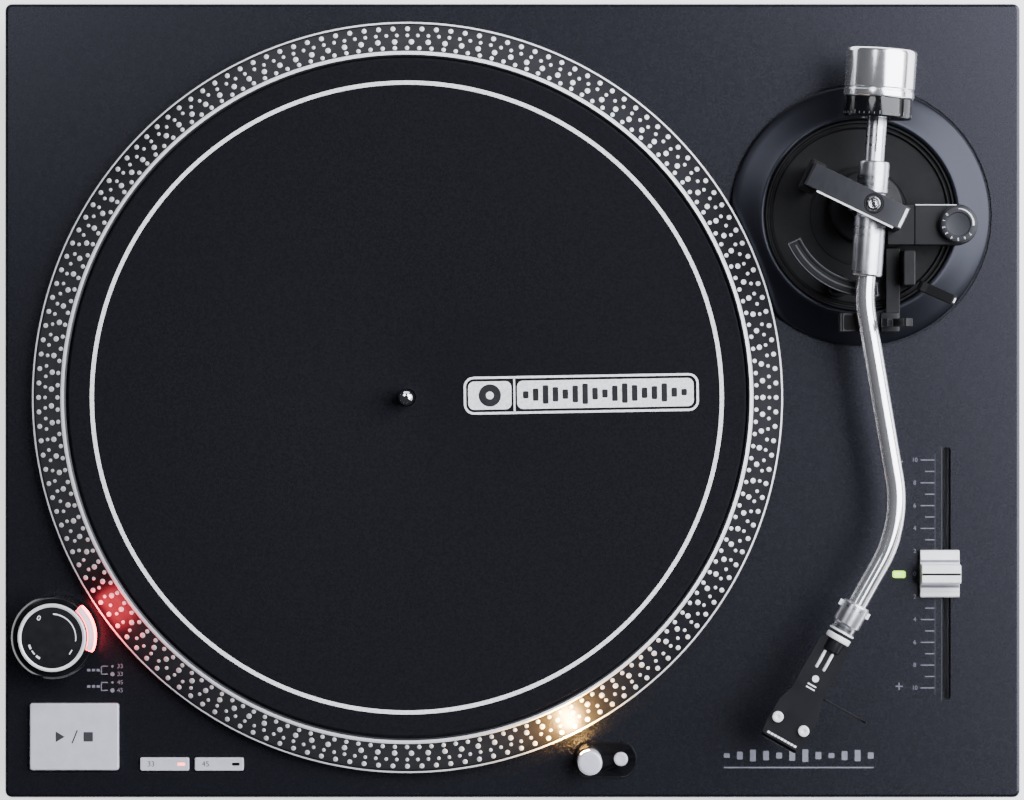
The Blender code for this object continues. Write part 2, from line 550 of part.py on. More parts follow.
def build_tonearm(coats):
    arm = empty("tonearm_axis", (*PIVOT_AT, ARM_HEIGHT), ARM_PARKED)
    ring = ((RING_INNER, -0.003), (RING_OUTER - 0.0004, -0.003), (RING_OUTER, -0.0026), (RING_OUTER, 0.0026),
            (RING_OUTER - 0.0004, 0.003), (RING_INNER, 0.003))
    gimbal = place("gimbal_ring", lying(turned(ring, 24, hollow=True)), coat=coats["steel"], parent=arm)
    screw = 0.0015
    hole = lying(turned(((screw + GAP, -0.02), (screw + GAP, 0.02)), 12), "X")
    combine(gimbal, [hole], "DIFFERENCE")
    for side, sign in (("left", -1), ("right", 1)):
        pin = turned(((screw * 0.4, sign * 0.0066), (screw, sign * 0.0074), (screw, sign * 0.0104)), 12)
        place(f"pitch_screw_{side}", lying(pin, "X"), coat=coats["steel"], parent=arm)

    bore = TUBE_RADIUS + GAP
    sleeve = ((bore, SLEEVE_FRONT + SLEEVE_BORE), (bore, SLEEVE_FRONT), (0.0063, SLEEVE_FRONT),
              (SLEEVE_RADIUS, SLEEVE_FRONT + 0.0008), (SLEEVE_RADIUS, -0.0055), (0.006, -0.005),
              (0.006, 0.005), (SLEEVE_RADIUS, 0.0055), (SLEEVE_RADIUS, SLEEVE_REAR - 0.0006),
              (0.0063, SLEEVE_REAR), (STUB_RADIUS, SLEEVE_REAR), (STUB_RADIUS, STUB_END - 0.0005),
              (STUB_RADIUS - 0.0005, STUB_END))
    place("arm_sleeve", lying(turned(sleeve, 20)), coat=coats["silver"], parent=arm)

    points, tip = arm_path()
    line = bpy.data.curves.new("tonearm_tube", "CURVE")
    line.dimensions = "3D"
    line.bevel_depth = TUBE_RADIUS
    line.bevel_resolution = 3
    line.use_fill_caps = True
    spline = line.splines.new("POLY")
    spline.points.add(len(points) - 1)
    for knot, point in zip(spline.points, points):
        knot.co = (point.x, point.y, 0.0, 1.0)
    line.materials.append(coats["chrome"])
    tube = bpy.data.objects.new("tonearm_tube", line)
    tube.parent = arm
    bpy.context.scene.collection.objects.link(tube)

    thread = 0.007
    insert = ((STUB_RADIUS + GAP, 0.0385), (thread, 0.0385), (thread, 0.062), (STUB_RADIUS + GAP, 0.062))
    place("counterweight_insert", lying(turned(insert, 20, hollow=True)), coat=coats["steel"], parent=arm)
    low, high = WEIGHT_SPAN
    edge = COUNTERWEIGHT_RADIUS
    weight = ((thread + GAP, high - 0.0038), (thread + GAP, low), (edge - 0.0004, low), (edge, low + 0.0004),
              (edge, high - 0.001), (edge - 0.0008, high))
    place("counterweight", lying(turned(weight, 28)), coat=coats["chrome"], parent=arm)
    low, high = DIAL_SPAN
    dial = ((thread + GAP, low), (0.0143, low), (0.0149, low + 0.0006), (0.0149, high), (thread + GAP, high))
    place("tracking_dial", lying(turned(dial, 24, hollow=True)), coat=coats["black"], parent=arm)

    head = empty("headshell_axis", (*tip, 0.0), HEAD_TURN, arm)
    collar = ((bore, 0.0545), (0.0052, 0.0545), (0.0052, 0.0583), (0.0062, 0.0587), (0.0062, 0.0683),
              (0.0056, 0.0689), (bore, 0.0689))
    place("locking_collar", lying(turned(collar, 18, hollow=True)), coat=coats["steel"], parent=head)

    outline = ((-0.0093, 0.0), (0.0093, 0.0), (0.0097, 0.006), (0.0096, 0.0165), (0.0073, 0.0235),
               (0.0073, 0.0485), (0.006, 0.050), (-0.006, 0.050), (-0.0073, 0.0485), (-0.0073, 0.0235),
               (-0.0096, 0.0165), (-0.0097, 0.006))
    shell = place("headshell", extruded(outline, -0.0018, 0.0012), coat=coats["black"], parent=head)
    neck = lying(turned(((0.0039, 0.0455), (0.0039, 0.054)), 14))
    combine(shell, [neck], "UNION")
    screw_x, screw_y = 0.0064, 0.0092
    holes = [turned(((0.0015, -0.004), (0.0015, 0.004)), 10, centre=(sx * screw_x, screw_y))
             for sx in (-1, 1)]
    combine(shell, holes, "DIFFERENCE")

    top = -0.0018 - GAP
    bottom = -0.0145
    rings = [rounded(0.0170, 0.0165, 0.001, top, (0.0, 0.0068), 2),
             rounded(0.0170, 0.0165, 0.001, top - 0.003, (0.0, 0.0068), 2),
             rounded(0.0132, 0.0160, 0.001, top - 0.0045, (0.0, 0.0068), 2),
             rounded(0.0120, 0.0135, 0.001, bottom, (0.0, 0.0072), 2)]
    cartridge = place("cartridge", loft(rings), coat=coats["black"], parent=head)
    bores = [turned(((0.0015, -0.008), (0.0015, 0.001)), 10, centre=(sx * screw_x, screw_y))
             for sx in (-1, 1)]
    combine(cartridge, bores, "DIFFERENCE")
    for side, sx in (("left", -1), ("right", 1)):
        pin = ((0.0012, -0.0046), (0.0012, 0.0012 + GAP), (0.00245, 0.0012 + GAP), (0.00245, 0.0027),
               (0.0019, 0.0031))
        place(f"cartridge_screw_{side}", turned(pin, 16), (sx * screw_x, screw_y, 0.0), coats["steel"], head)

    drop = STYLUS_TIP - ARM_HEIGHT
    needle = [rounded(0.0065, 0.0085, 0.0006, bottom - GAP, (0.0, 0.0045), 2),
              rounded(0.0050, 0.0060, 0.0006, bottom - 0.0016, (0.0, 0.004), 2),
              rounded(0.0016, 0.0026, 0.0004, bottom - 0.0021, (0.0, 0.0008), 2),
              rounded(0.0006, 0.0006, 0.0002, drop, (0.0, 0.0), 2)]
    place("stylus", loft(needle), coat=coats["silver"], parent=head)

    lift = ((0.0076, -0.0016), (0.0245, -0.0016), (0.0275, -0.0006), (0.0292, 0.0016), (0.0284, 0.0024),
            (0.0268, 0.0004), (0.0243, -0.0002), (0.0076, -0.0002))
    place("finger_lift", extruded(lift, 0.0243, 0.0265, "XZ"), coat=coats["black"], parent=head)


def build_back(coats):
    back = PLINTH_DEPTH / 2
    x0, x1, z0, z1 = SOCKET_TRAY
    floor = back - TRAY_DEPTH
    tray = place("rear_socket_panel", box(x0, x1, floor, back, z0, z1), coat=coats["black"])
    rim = 0.002
    combine(tray, [box(x0 + rim, x1 - rim, floor + rim, back + 0.01, z0 + rim, z1 - rim)], "DIFFERENCE")
    start = rim + GAP
    for side, x in JACK_PLACES.items():
        jack = ((0.0056, start), (0.0056, start + 0.0025), (0.0042, start + 0.0027), (0.0042, 0.0146))
        place(f"rca_jack_{side}", lying(turned(jack, 14)), (x, floor, JACK_HEIGHT), coats["steel"])
    nut = ((0.0022, start), (0.0022, 0.007), (0.0046, 0.0074), (0.0046, 0.0132), (0.004, 0.0138))
    place("ground_terminal", lying(turned(nut, 14)), (GROUND_PLACE, floor, JACK_HEIGHT), coats["steel"])

    x, z = INLET_AT
    w, h = INLET_SIZE
    body = place("power_inlet", box(x - w / 2, x + w / 2, back - 0.022, back, z - h / 2, z + h / 2),
                 coat=coats["black"])
    socket = loft([rounded(0.0165, 0.0092, 0.0045, y) for y in (0.005, 0.030)])
    bmesh.ops.rotate(socket, verts=socket.verts, cent=(0, 0, 0), matrix=Matrix.Rotation(-pi / 2, 3, "X"))
    combine(body, [moved(socket, (x, back - 0.022, z))], "DIFFERENCE")


def main():
    clear_scene()
    coats = {
        "plinth": paint("plinth_lacquer", (0.06, 0.06, 0.075), 0.4),
        "black": paint("black_plastic", (0.015, 0.015, 0.018), 0.45),
        "rubber": paint("rubber", (0.02, 0.02, 0.02), 0.8),
        "platter": paint("platter_aluminium", (0.05, 0.05, 0.06), 0.35, 0.6),
        "steel": paint("steel", (0.6, 0.6, 0.62), 0.3, 1.0),
        "silver": paint("satin_aluminium", (0.65, 0.65, 0.68), 0.4, 0.8),
        "chrome": paint("chrome", (0.8, 0.8, 0.82), 0.08, 1.0),
        "felt": paint("felt", (0.01, 0.01, 0.012), 0.95),
        "white": paint("white_plastic", (0.85, 0.85, 0.86), 0.4),
        "lens": paint("lens", (0.8, 0.6, 0.65), 0.2),
        "green": paint("green_light", (0.1, 0.8, 0.2), 0.3),
        "board": paint("circuit_board", (0.03, 0.2, 0.06), 0.6),
    }
    build_casing(coats)
    build_drive(coats)
    build_controls(coats)
    build_arm_base(coats)
    build_tonearm(coats)
    build_back(coats)


main()
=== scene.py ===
"""The turntable's looks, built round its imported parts.

Shapes are written in millimetres in the row frame and made metres by add().
"""

from math import atan2, cos, hypot, pi, radians, sin, tan

import bmesh
import bpy
from mathutils import Matrix, Vector


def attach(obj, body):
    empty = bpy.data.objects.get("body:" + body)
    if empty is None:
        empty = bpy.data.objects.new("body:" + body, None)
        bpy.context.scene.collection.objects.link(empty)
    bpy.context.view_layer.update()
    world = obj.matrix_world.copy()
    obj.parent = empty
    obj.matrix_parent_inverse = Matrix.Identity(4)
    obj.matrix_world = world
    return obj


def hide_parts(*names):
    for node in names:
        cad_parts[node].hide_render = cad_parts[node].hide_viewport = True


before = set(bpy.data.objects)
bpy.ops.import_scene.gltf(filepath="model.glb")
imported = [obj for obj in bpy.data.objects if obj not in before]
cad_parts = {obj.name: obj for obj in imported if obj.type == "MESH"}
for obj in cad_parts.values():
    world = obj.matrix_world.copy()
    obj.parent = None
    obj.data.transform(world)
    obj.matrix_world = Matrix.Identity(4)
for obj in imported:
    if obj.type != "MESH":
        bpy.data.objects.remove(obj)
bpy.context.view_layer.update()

MM = 0.001
INK = 0.07                          # how far a print stands up
ROUND = 160                         # sides of a large turned piece
PLATTER_AT = (-46.4, 1.4)
PIVOT_AT = (156.3, 85.3)
BASE_AT = (153.9, 81.9)
TOP = 88.0                          # the plinth's top face


# ---------------------------------------------------------------- materials

def linear(red, green, blue):
    """A screen colour, 0 to 255, as linear light."""
    values = [c / 255 for c in (red, green, blue)]
    return tuple(v / 12.92 if v <= 0.04045 else ((v + 0.055) / 1.055) ** 2.4 for v in values)


def noise(tree, vector, scale, detail=3.0):
    made = tree.nodes.new("ShaderNodeTexNoise")
    made.inputs["Scale"].default_value = scale
    made.inputs["Detail"].default_value = detail
    tree.links.new(vector, made.inputs["Vector"])
    return made.outputs["Fac"]


def spread(tree, value, low, high):
    """Noise, which stays near its middle, opened out to run from low to high."""
    made = tree.nodes.new("ShaderNodeMapRange")
    for name, number in (("From Min", 0.32), ("From Max", 0.68), ("To Min", low), ("To Max", high)):
        made.inputs[name].default_value = number
    tree.links.new(value, made.inputs["Value"])
    return made.outputs["Result"]


def two_tone(tree, factor, first, second):
    made = tree.nodes.new("ShaderNodeMix")
    made.data_type = "RGBA"
    for socket, colour in ((made.inputs[6], first), (made.inputs[7], second)):
        socket.default_value = (*colour, 1.0)
    tree.links.new(factor, made.inputs[0])
    return made.outputs[2]


def own_place(tree, stretch=(1.0, 1.0, 1.0)):
    place = tree.nodes.new("ShaderNodeTexCoord")
    mapping = tree.nodes.new("ShaderNodeMapping")
    mapping.inputs["Scale"].default_value = stretch
    tree.links.new(place.outputs["Object"], mapping.inputs["Vector"])
    return mapping.outputs["Vector"]


def round_axis(tree):
    """A place that changes only along the piece's own Z axis and away from it: turning marks."""
    place = tree.nodes.new("ShaderNodeTexCoord")
    flat = tree.nodes.new("ShaderNodeMapping")
    flat.inputs["Scale"].default_value = (1.0, 1.0, 0.0)
    length = tree.nodes.new("ShaderNodeVectorMath")
    length.operation = "LENGTH"
    split = tree.nodes.new("ShaderNodeSeparateXYZ")
    joined = tree.nodes.new("ShaderNodeCombineXYZ")
    tree.links.new(place.outputs["Object"], flat.inputs["Vector"])
    tree.links.new(flat.outputs["Vector"], length.inputs[0])
    tree.links.new(place.outputs["Object"], split.inputs["Vector"])
    tree.links.new(length.outputs["Value"], joined.inputs["X"])
    tree.links.new(split.outputs["Z"], joined.inputs["Z"])
    return joined.outputs["Vector"]


def coat(name, colour, roughness, metallic=0.0, shade=0.14, patches=45.0, grain=1400.0, depth=0.01,
         wear=0.05, marks=None, glow=None, specular=0.5, tint=(1.0, 1.0, 1.0)):
    """A finish with uneven colour, uneven gloss and a fine relief. marks is None, "turned" or a stretch."""
    made = bpy.data.materials.new(name)
    made.use_nodes = True
    tree = made.node_tree
    shader = tree.nodes["Principled BSDF"]
    place = own_place(tree)
    fine = place
    if marks == "turned":
        fine = round_axis(tree)
    elif marks:
        fine = own_place(tree, marks)
    darker = tuple(c * (1 - shade) for c in colour)
    lighter = tuple(min(1.0, c * (1 + shade)) for c in colour)
    hue = two_tone(tree, spread(tree, noise(tree, place, patches), 0.0, 1.0), darker, lighter)
    tree.links.new(hue, shader.inputs["Base Color"])
    low, high = max(0.02, roughness - wear), min(1.0, roughness + wear)
    gloss = spread(tree, noise(tree, fine, grain * 0.2 if marks else patches * 4), low, high)
    tree.links.new(gloss, shader.inputs["Roughness"])
    shader.inputs["Metallic"].default_value = metallic
    shader.inputs["Specular IOR Level"].default_value = specular
    shader.inputs["Specular Tint"].default_value = (*tint, 1.0)
    relief = tree.nodes.new("ShaderNodeBump")
    relief.inputs["Strength"].default_value = 1.0
    relief.inputs["Distance"].default_value = depth * MM
    tree.links.new(noise(tree, fine, grain, 2.0), relief.inputs["Height"])
    tree.links.new(relief.outputs["Normal"], shader.inputs["Normal"])
    if glow:
        tree.links.new(hue, shader.inputs["Emission Color"])
        shader.inputs["Emission Strength"].default_value = glow
    return made


def felt_coat():
    """Short dark wool: a deep fine relief and a faint sheen."""
    made = coat("felt", linear(20, 20, 25), 0.92, shade=0.25, patches=900.0, grain=2400.0, depth=0.14,
                wear=0.04, specular=0.08)
    shader = made.node_tree.nodes["Principled BSDF"]
    shader.inputs["Sheen Weight"].default_value = 0.015
    shader.inputs["Sheen Roughness"].default_value = 0.6
    return made


def ink(name, red, green, blue, shade=0.1):
    return coat(name, linear(red, green, blue), 0.6, shade=shade, patches=500.0, grain=2600.0, depth=0.01)


def make_coats():
    return {
        "lacquer": coat("lacquer", linear(15, 16, 21), 0.27, shade=0.06, patches=260.0, grain=3200.0,
                        depth=0.003, wear=0.02, specular=0.46, tint=(0.84, 0.84, 1.0)),
        "ring_lacquer": coat("ring_lacquer", linear(13, 14, 19), 0.3, shade=0.06, patches=260.0,
                             grain=3200.0, depth=0.003, wear=0.02, specular=0.36, tint=(0.8, 0.83, 1.0)),
        "black": coat("satin_black", linear(20, 20, 23), 0.38, shade=0.18, patches=70.0, grain=2600.0,
                      depth=0.006, specular=0.22),
        "gloss": coat("gloss_black", linear(16, 16, 19), 0.14, shade=0.2, patches=60.0, grain=600.0,
                      depth=0.002),
        "matt": coat("matt_black", linear(16, 16, 18), 0.62, shade=0.2, patches=90.0, grain=2600.0,
                     depth=0.012, specular=0.2),
        "anodised": coat("black_anodised", linear(24, 24, 28), 0.38, 0.4, grain=2600.0, depth=0.005,
                         specular=0.25),
        "bar": coat("satin_blue_grey", linear(34, 34, 40), 0.36, 0.4, marks=(6.0, 1.0, 1.0), grain=900.0,
                    depth=0.006),
        "rubber": coat("rubber", linear(20, 20, 21), 0.78, shade=0.22, patches=120.0, grain=1800.0,
                       depth=0.03, specular=0.2),
        "casting": coat("dark_turned_aluminium", linear(34, 34, 40), 0.36, 0.55, shade=0.12, marks="turned",
                        grain=2400.0, depth=0.006),
        "lip": coat("polished_lip", linear(243, 243, 246), 0.42, 0.2, shade=0.05, marks="turned",
                    grain=2200.0, depth=0.004),
        "dot": coat("strobe_dot", linear(246, 246, 248), 0.38, 0.05, shade=0.06, patches=400.0,
                    grain=3000.0, depth=0.004),
        "steel": coat("plated_steel", linear(196, 196, 200), 0.24, 1.0, shade=0.06, marks="turned",
                      grain=1600.0, depth=0.003),
        "plain_steel": coat("sheet_steel", linear(170, 170, 174), 0.34, 1.0, shade=0.1, patches=60.0),
        "satin": coat("satin_aluminium", linear(205, 205, 212), 0.3, 1.0, shade=0.04, marks="turned",
                      grain=2600.0, depth=0.005),
        "chrome": coat("chrome", linear(225, 225, 230), 0.09, 1.0, shade=0.03, patches=30.0, grain=300.0,
                       depth=0.001, wear=0.03),
        "weight": coat("weight_chrome", linear(240, 240, 243), 0.15, 0.9, shade=0.03, marks="turned",
                       grain=900.0, depth=0.001, wear=0.03),
        "tube": coat("polished_tube", linear(240, 240, 244), 0.13, 0.88, shade=0.03, patches=30.0,
                     grain=300.0, depth=0.001, wear=0.04),
        "button": coat("silver_paint", linear(204, 204, 216), 0.42, 0.2, shade=0.05, patches=200.0,
                       grain=3200.0, depth=0.006),
        "white": coat("white_plastic", linear(248, 248, 250), 0.4, shade=0.04, patches=150.0, grain=2600.0,
                      depth=0.006),
        "felt": felt_coat(),
        # White ink serves the prints and one white lead, and also the painted highlights on the cue lever's
        # tip and the anti-skate bracket's edge.
        "ink": ink("white_ink_and_painted_highlight", 238, 238, 242, 0.08),
        "felt_ink": coat("felt_ink", linear(244, 244, 246), 0.8, shade=0.16, patches=900.0, grain=2600.0,
                         depth=0.08),
        "felt_dark": coat("felt_unprinted", linear(26, 26, 30), 0.92, shade=0.3, patches=300.0,
                          grain=2200.0, depth=0.1),
        # Light grey paint for the painted highlights on the fader slot's edge and the lift arc's edges, and
        # for two faint lines beside them.
        "dim_ink": ink("dim_ink", 58, 58, 66),
        # Grey ink serves the prints, and also the painted shade beside the fader cap's steps.
        "grey_ink": ink("grey_ink", 118, 118, 130),
        "dark_ink": ink("dark_ink", 40, 40, 46),
        "lens": coat("lit_lens", (0.86, 0.62, 0.72), 0.3, shade=0.08, patches=120.0, glow=0.25),
        "lens_side": coat("lit_lens_side", (1.0, 0.05, 0.07), 0.3, shade=0.08, patches=120.0, glow=30.0),
        "red_lit": coat("lit_window", (1.0, 0.16, 0.14), 0.3, shade=0.1, patches=300.0, glow=7.0),
        "green_lit": coat("lit_pitch_mark", (0.52, 0.92, 0.08), 0.3, shade=0.08, patches=300.0, glow=2.2),
        "lamp_lit": coat("lit_lamp", (1.0, 0.50, 0.11), 0.3, shade=0.05, patches=200.0, glow=7000.0),
        "board": coat("circuit_board", (0.03, 0.16, 0.06), 0.5, shade=0.3, patches=220.0),
        "brass": coat("brass", (0.78, 0.57, 0.25), 0.25, 1.0, shade=0.06, patches=120.0),
        "red": coat("red_ring", (0.55, 0.02, 0.02), 0.4, shade=0.1, patches=200.0),
        "blue_wire": coat("blue_wire", (0.03, 0.08, 0.45), 0.4, patches=400.0),
        "green_wire": coat("green_wire", (0.02, 0.28, 0.06), 0.4, patches=400.0),
    }


COATS = make_coats()


# ---------------------------------------------------------------- shapes

def spot(x, y, z=0.0, turn=0.0):
    """A place in millimetres, turned about Z by degrees."""
    return Matrix.Translation((x, y, z)) @ Matrix.Rotation(radians(turn), 4, "Z")


def rounded_line(points, radius, steps=4, closed=False):
    """The same flat line with its corners turned into arcs, of at most that radius or those radii."""
    points = [Vector(p) for p in points]
    last = len(points) - 1
    line = []
    for i, here in enumerate(points):
        if not closed and i in (0, last):
            line.append(here)
            continue
        back = points[i - 1] - here
        ahead = points[(i + 1) % len(points)] - here
        turn = pi - back.angle(ahead)
        if turn < radians(2):
            line.append(here)
            continue
        size = radius[i] if isinstance(radius, (list, tuple)) else radius
        reach = min(size * tan(turn / 2), back.length * 0.45, ahead.length * 0.45)
        size = reach / tan(turn / 2)
        middle = here + (back.normalized() + ahead.normalized()).normalized() * size / cos(turn / 2)
        spoke = here + back.normalized() * reach - middle
        way = 1 if back.x * ahead.y - back.y * ahead.x < 0 else -1
        line += [middle + Matrix.Rotation(way * turn * s / steps, 2) @ spoke for s in range(steps + 1)]
    return [tuple(p) for p in line]


def polar(reach, angle, centre=(0.0, 0.0)):
    """The point at a distance from a centre, at an angle in degrees."""
    return (centre[0] + reach * cos(radians(angle)), centre[1] + reach * sin(radians(angle)))


def raised(outline, height):
    return [(x, y, height) for x, y in outline]


def circle(radius, centre=(0.0, 0.0), steps=64):
    turns = [2 * pi * i / steps for i in range(steps)]
    return [(centre[0] + radius * cos(t), centre[1] + radius * sin(t)) for t in turns]


def rectangle(width, depth, corner=0.0, centre=(0.0, 0.0), turn=0.0, steps=5):
    x, y = width / 2, depth / 2
    outline = ((x, y), (-x, y), (-x, -y), (x, -y))
    if corner:
        outline = rounded_line(outline, corner, steps, closed=True)
    swing = Matrix.Rotation(radians(turn), 2)
    return [tuple(swing @ Vector(p) + Vector(centre)) for p in outline]


def band(inner, outer, start, end, centre=(0.0, 0.0), steps=24):
    """A slice of a flat ring between two angles in degrees. inner may be (at start, at end)."""
    first, final = inner if isinstance(inner, tuple) else (inner, inner)
    turns = [radians(start + (end - start) * i / steps) for i in range(steps + 1)]
    near = [first + (final - first) * i / steps for i in range(steps + 1)]
    out = [(centre[0] + outer * cos(t), centre[1] + outer * sin(t)) for t in turns]
    back = [(centre[0] + r * cos(t), centre[1] + r * sin(t)) for r, t in zip(near, turns)]
    return out + back[::-1]


def loft(rings, ends=True):
    """Skin over rings of equally many points: capped, or closed on itself when ends is False."""
    shape = bmesh.new()
    loops = [[shape.verts.new(p) for p in ring] for ring in rings]
    pairs = list(zip(loops, loops[1:]))
    if ends:
        shape.faces.new(loops[0])
        shape.faces.new(loops[-1])
    else:
        pairs.append((loops[-1], loops[0]))
    count = len(loops[0])
    for low, high in pairs:
        for i in range(count):
            j = (i + 1) % count
            shape.faces.new((low[i], low[j], high[j], high[i]))
    bmesh.ops.recalc_face_normals(shape, faces=shape.faces)
    return shape


def turned(profile, soft=0.0, steps=ROUND, hollow=False, ribs=None):
    """A piece turned about Z from (radius, height) points. ribs is (how many, depth, low, high)."""
    line = rounded_line(profile, soft, 3, hollow) if soft else profile
    rings = []
    for radius, height in line:
        ring = []
        for i in range(steps):
            t = 2 * pi * i / steps
            reach = radius
            if ribs and ribs[2] <= height <= ribs[3]:
                reach -= ribs[1] * (0.5 + 0.5 * cos(ribs[0] * t))
            ring.append((reach * cos(t), reach * sin(t), height))
        rings.append(ring)
    return loft(rings, not hollow)


def rod(radius, low, high, steps, core=0.1, soft=0.0):
    return turned(((core, low), (radius, low), (radius, high), (core, high)), soft, steps)


def prism(outline, low, high):
    return loft([raised(outline, low), raised(outline, high)])


def prisms(outlines, low, high):
    """Several flat pieces as one mesh."""
    return joined([prism(outline, low, high) for outline in outlines])


def stood(outline, start, end, plane="XZ"):
    """A prism from an outline that stands upright, pushed along Y ("XZ") or along X ("YZ")."""
    if plane == "XZ":
        return loft([[(a, c, b) for a, b in outline] for c in (start, end)])
    return loft([[(c, a, b) for a, b in outline] for c in (start, end)])


def slab(x0, x1, y0, y1, z0, z1):
    return prism(((x0, y0), (x1, y0), (x1, y1), (x0, y1)), z0, z1)


def frame_line(width, depth, corner, thick, low, high, centre=(0.0, 0.0), turn=0.0):
    """A thin closed line round a rectangle."""
    inner = rectangle(width - 2 * thick, depth - 2 * thick, max(corner - thick, 0.05), centre, turn)
    outer = rectangle(width, depth, corner, centre, turn)
    corners = ((inner, low), (outer, low), (outer, high), (inner, high))
    return loft([raised(line, z) for line, z in corners], ends=False)


def swept(points, radius, sides):
    """A round bar along a line of points."""
    points = [Vector((*p[:2], p[2] if len(p) > 2 else 0.0)) for p in points]
    rings = []
    for i, here in enumerate(points):
        ahead = points[min(i + 1, len(points) - 1)] - points[max(i - 1, 0)]
        ahead.normalize()
        side = ahead.cross(Vector((0, 0, 1))).normalized()
        up = side.cross(ahead)
        rings.append([here + radius * (cos(2 * pi * s / sides) * side + sin(2 * pi * s / sides) * up)
                      for s in range(sides)])
    return loft(rings)


def mesh_of(name, shape):
    mesh = bpy.data.meshes.new(name)
    shape.to_mesh(mesh)
    shape.free()
    return mesh


def joined(shapes):
    whole = bmesh.new()
    for shape in shapes:
        part = mesh_of("part", shape)
        whole.from_mesh(part)
        bpy.data.meshes.remove(part)
    return whole


def set_at(shape, matrix):
    bmesh.ops.transform(shape, matrix=matrix, verts=shape.verts)
    return shape


LAID = Matrix.Rotation(-pi / 2, 4, "X")          # a turned piece laid along Y
ACROSS = Matrix.Rotation(pi / 2, 4, "Y")         # a turned piece laid along X


def put(name, data, body, at):
    """A new object at a place in millimetres, riding on a body."""
    piece = bpy.data.objects.new(name, data)
    place = at.copy() if at else Matrix()
    place.translation = place.translation * MM
    piece.matrix_world = place
    bpy.context.scene.collection.objects.link(piece)
    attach(piece, body)
    return piece


def soften(piece, width, angle):
    """Rounds off the edges that turn by more than an angle in degrees."""
    edge = piece.modifiers.new("soft edges", "BEVEL")
    edge.width = width * MM
    edge.segments = 3
    edge.limit_method = "ANGLE"
    edge.angle_limit = radians(angle)
    edge.harden_normals = True


def add(name, shape, look, body, at=None, stands_for=(), smooth=35, bevel=None, choose=None):
    """A finished piece from a shape in millimetres. choose picks the faces that take the second look."""
    bmesh.ops.scale(shape, vec=(MM, MM, MM), verts=shape.verts)
    mesh = mesh_of(name, shape)
    mesh.shade_smooth()
    mesh.set_sharp_from_angle(angle=radians(smooth))
    for one in look if isinstance(look, list) else [look]:
        mesh.materials.append(COATS[one])
    if choose:
        for face in mesh.polygons:
            face.material_index = int(choose(face.center / MM, face.normal))
    piece = put(name, mesh, body, at)
    if bevel:
        soften(piece, bevel, 30)
    if stands_for:
        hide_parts(*stands_for)
    return piece


def cut(piece, shapes):
    """Cuts shapes, in the piece's own millimetres, out of it for good."""
    tool_shape = joined(shapes)
    bmesh.ops.scale(tool_shape, vec=(MM, MM, MM), verts=tool_shape.verts)
    tool = bpy.data.objects.new("cutter", mesh_of("cutter", tool_shape))
    tool.matrix_world = piece.matrix_world
    bpy.context.scene.collection.objects.link(tool)
    step = piece.modifiers.new("cut", "BOOLEAN")
    step.operation = "DIFFERENCE"
    step.object = tool
    step.solver = "EXACT"
    bpy.context.view_layer.update()
    solid = bpy.data.meshes.new_from_object(piece.evaluated_get(bpy.context.evaluated_depsgraph_get()))
    piece.modifiers.remove(step)
    piece.data = solid
    solid.shade_smooth()
    solid.set_sharp_from_angle(angle=radians(35))
    bpy.data.objects.remove(tool)


def letter(name, text, size, look, body, at, thick=INK):
    """A few printed digits, centred on a place."""
    line = bpy.data.curves.new(name, "FONT")
    line.body = text
    line.size = size * MM
    line.align_x = "CENTER"
    line.align_y = "CENTER"
    line.extrude = thick / 2 * MM
    line.materials.append(COATS[look])
    put(name, line, body, at @ spot(0, 0, thick / 2))


def dress(look, *nodes):
    """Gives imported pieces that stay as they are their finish."""
    for name in nodes:
        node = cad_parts[name]
        node.data.materials.clear()
        node.data.materials.append(COATS[look])


# ---------------------------------------------------------------- casing

def build_casing():
    dress("lacquer", "plinth_shell")
    dress("matt", "base_cover")
    foot = ((0.5, 0.0), (21.0, 0.0), (22.5, 1.5), (22.5, 8.0), (19.0, 9.5), (19.0, 12.0), (24.0, 13.5),
            (24.0, 21.7), (0.5, 21.7))
    for row, y in (("front", -138), ("rear", 138)):
        for side, x in (("left", -186), ("right", 186)):
            add(f"rubber_foot_{row}_{side}", turned(foot, 0.7, 96, ribs=(48, 0.5, 2.0, 7.6)), "rubber",
                "chassis", spot(x, y), [f"foot_{row}_{side}"])
    screws = [(x, y) for x in (-205, -100, 0, 100, 205) for y in (-158, 158)]
    screws += [(-205, 0), (205, 0)]
    head = ((0.3, 21.9), (2.4, 21.9), (3.0, 22.2), (3.0, 22.6), (0.3, 22.6))
    heads = [set_at(turned(head, 0.2, 24), spot(*at)) for at in screws]
    add("base_screws", joined(heads), "plain_steel", "chassis")
    slots = [rectangle(3.4, 0.7, 0, at, turn) for at in screws for turn in (35, 125)]
    add("base_screw_slots", prisms(slots, 21.84, 21.9), "matt", "chassis")
    vents = [rectangle(34, 2.4, 1.1, (x, y + 7 * i)) for x, y in ((150, -60), (-150, 75)) for i in range(9)]
    add("base_vents", prisms(vents, 21.9, 22.02), "rubber", "chassis")


def build_drive():
    dress("plain_steel", "main_bearing", "motor", "power_transformer", "pitch_fader_body")
    dress("rubber", "drive_belt")
    dress("board", "control_board")
    pulley = ((1.6, 79), (1.6, 92.5), (7.8, 92.5), (7.8, 93.8), (6.8, 94.2), (6.8, 99.6), (5.5, 100),
              (0.4, 100))
    add("pulley_crown", turned(pulley, 0.2, 64), "steel", "motor_pulley",
        spot(*polar(104, 150, PLATTER_AT)), ["motor_pulley"])


# ---------------------------------------------------------------- platter

SLOPE = ((165.0, 95.1), (152.4, 106.4))
# radius, count, size
DOT_ROWS = ((153.8, 180, 0.95), (156.7, 133, 1.2), (159.7, 216, 0.8), (162.8, 160, 1.1))
DOT_DOME = ((1.0, -0.1), (1.0, 0.06), (0.86, 0.2), (0.5, 0.3), (0.08, 0.33))
FELT_TOP = 108.1
BADGE_TURN = 1.0


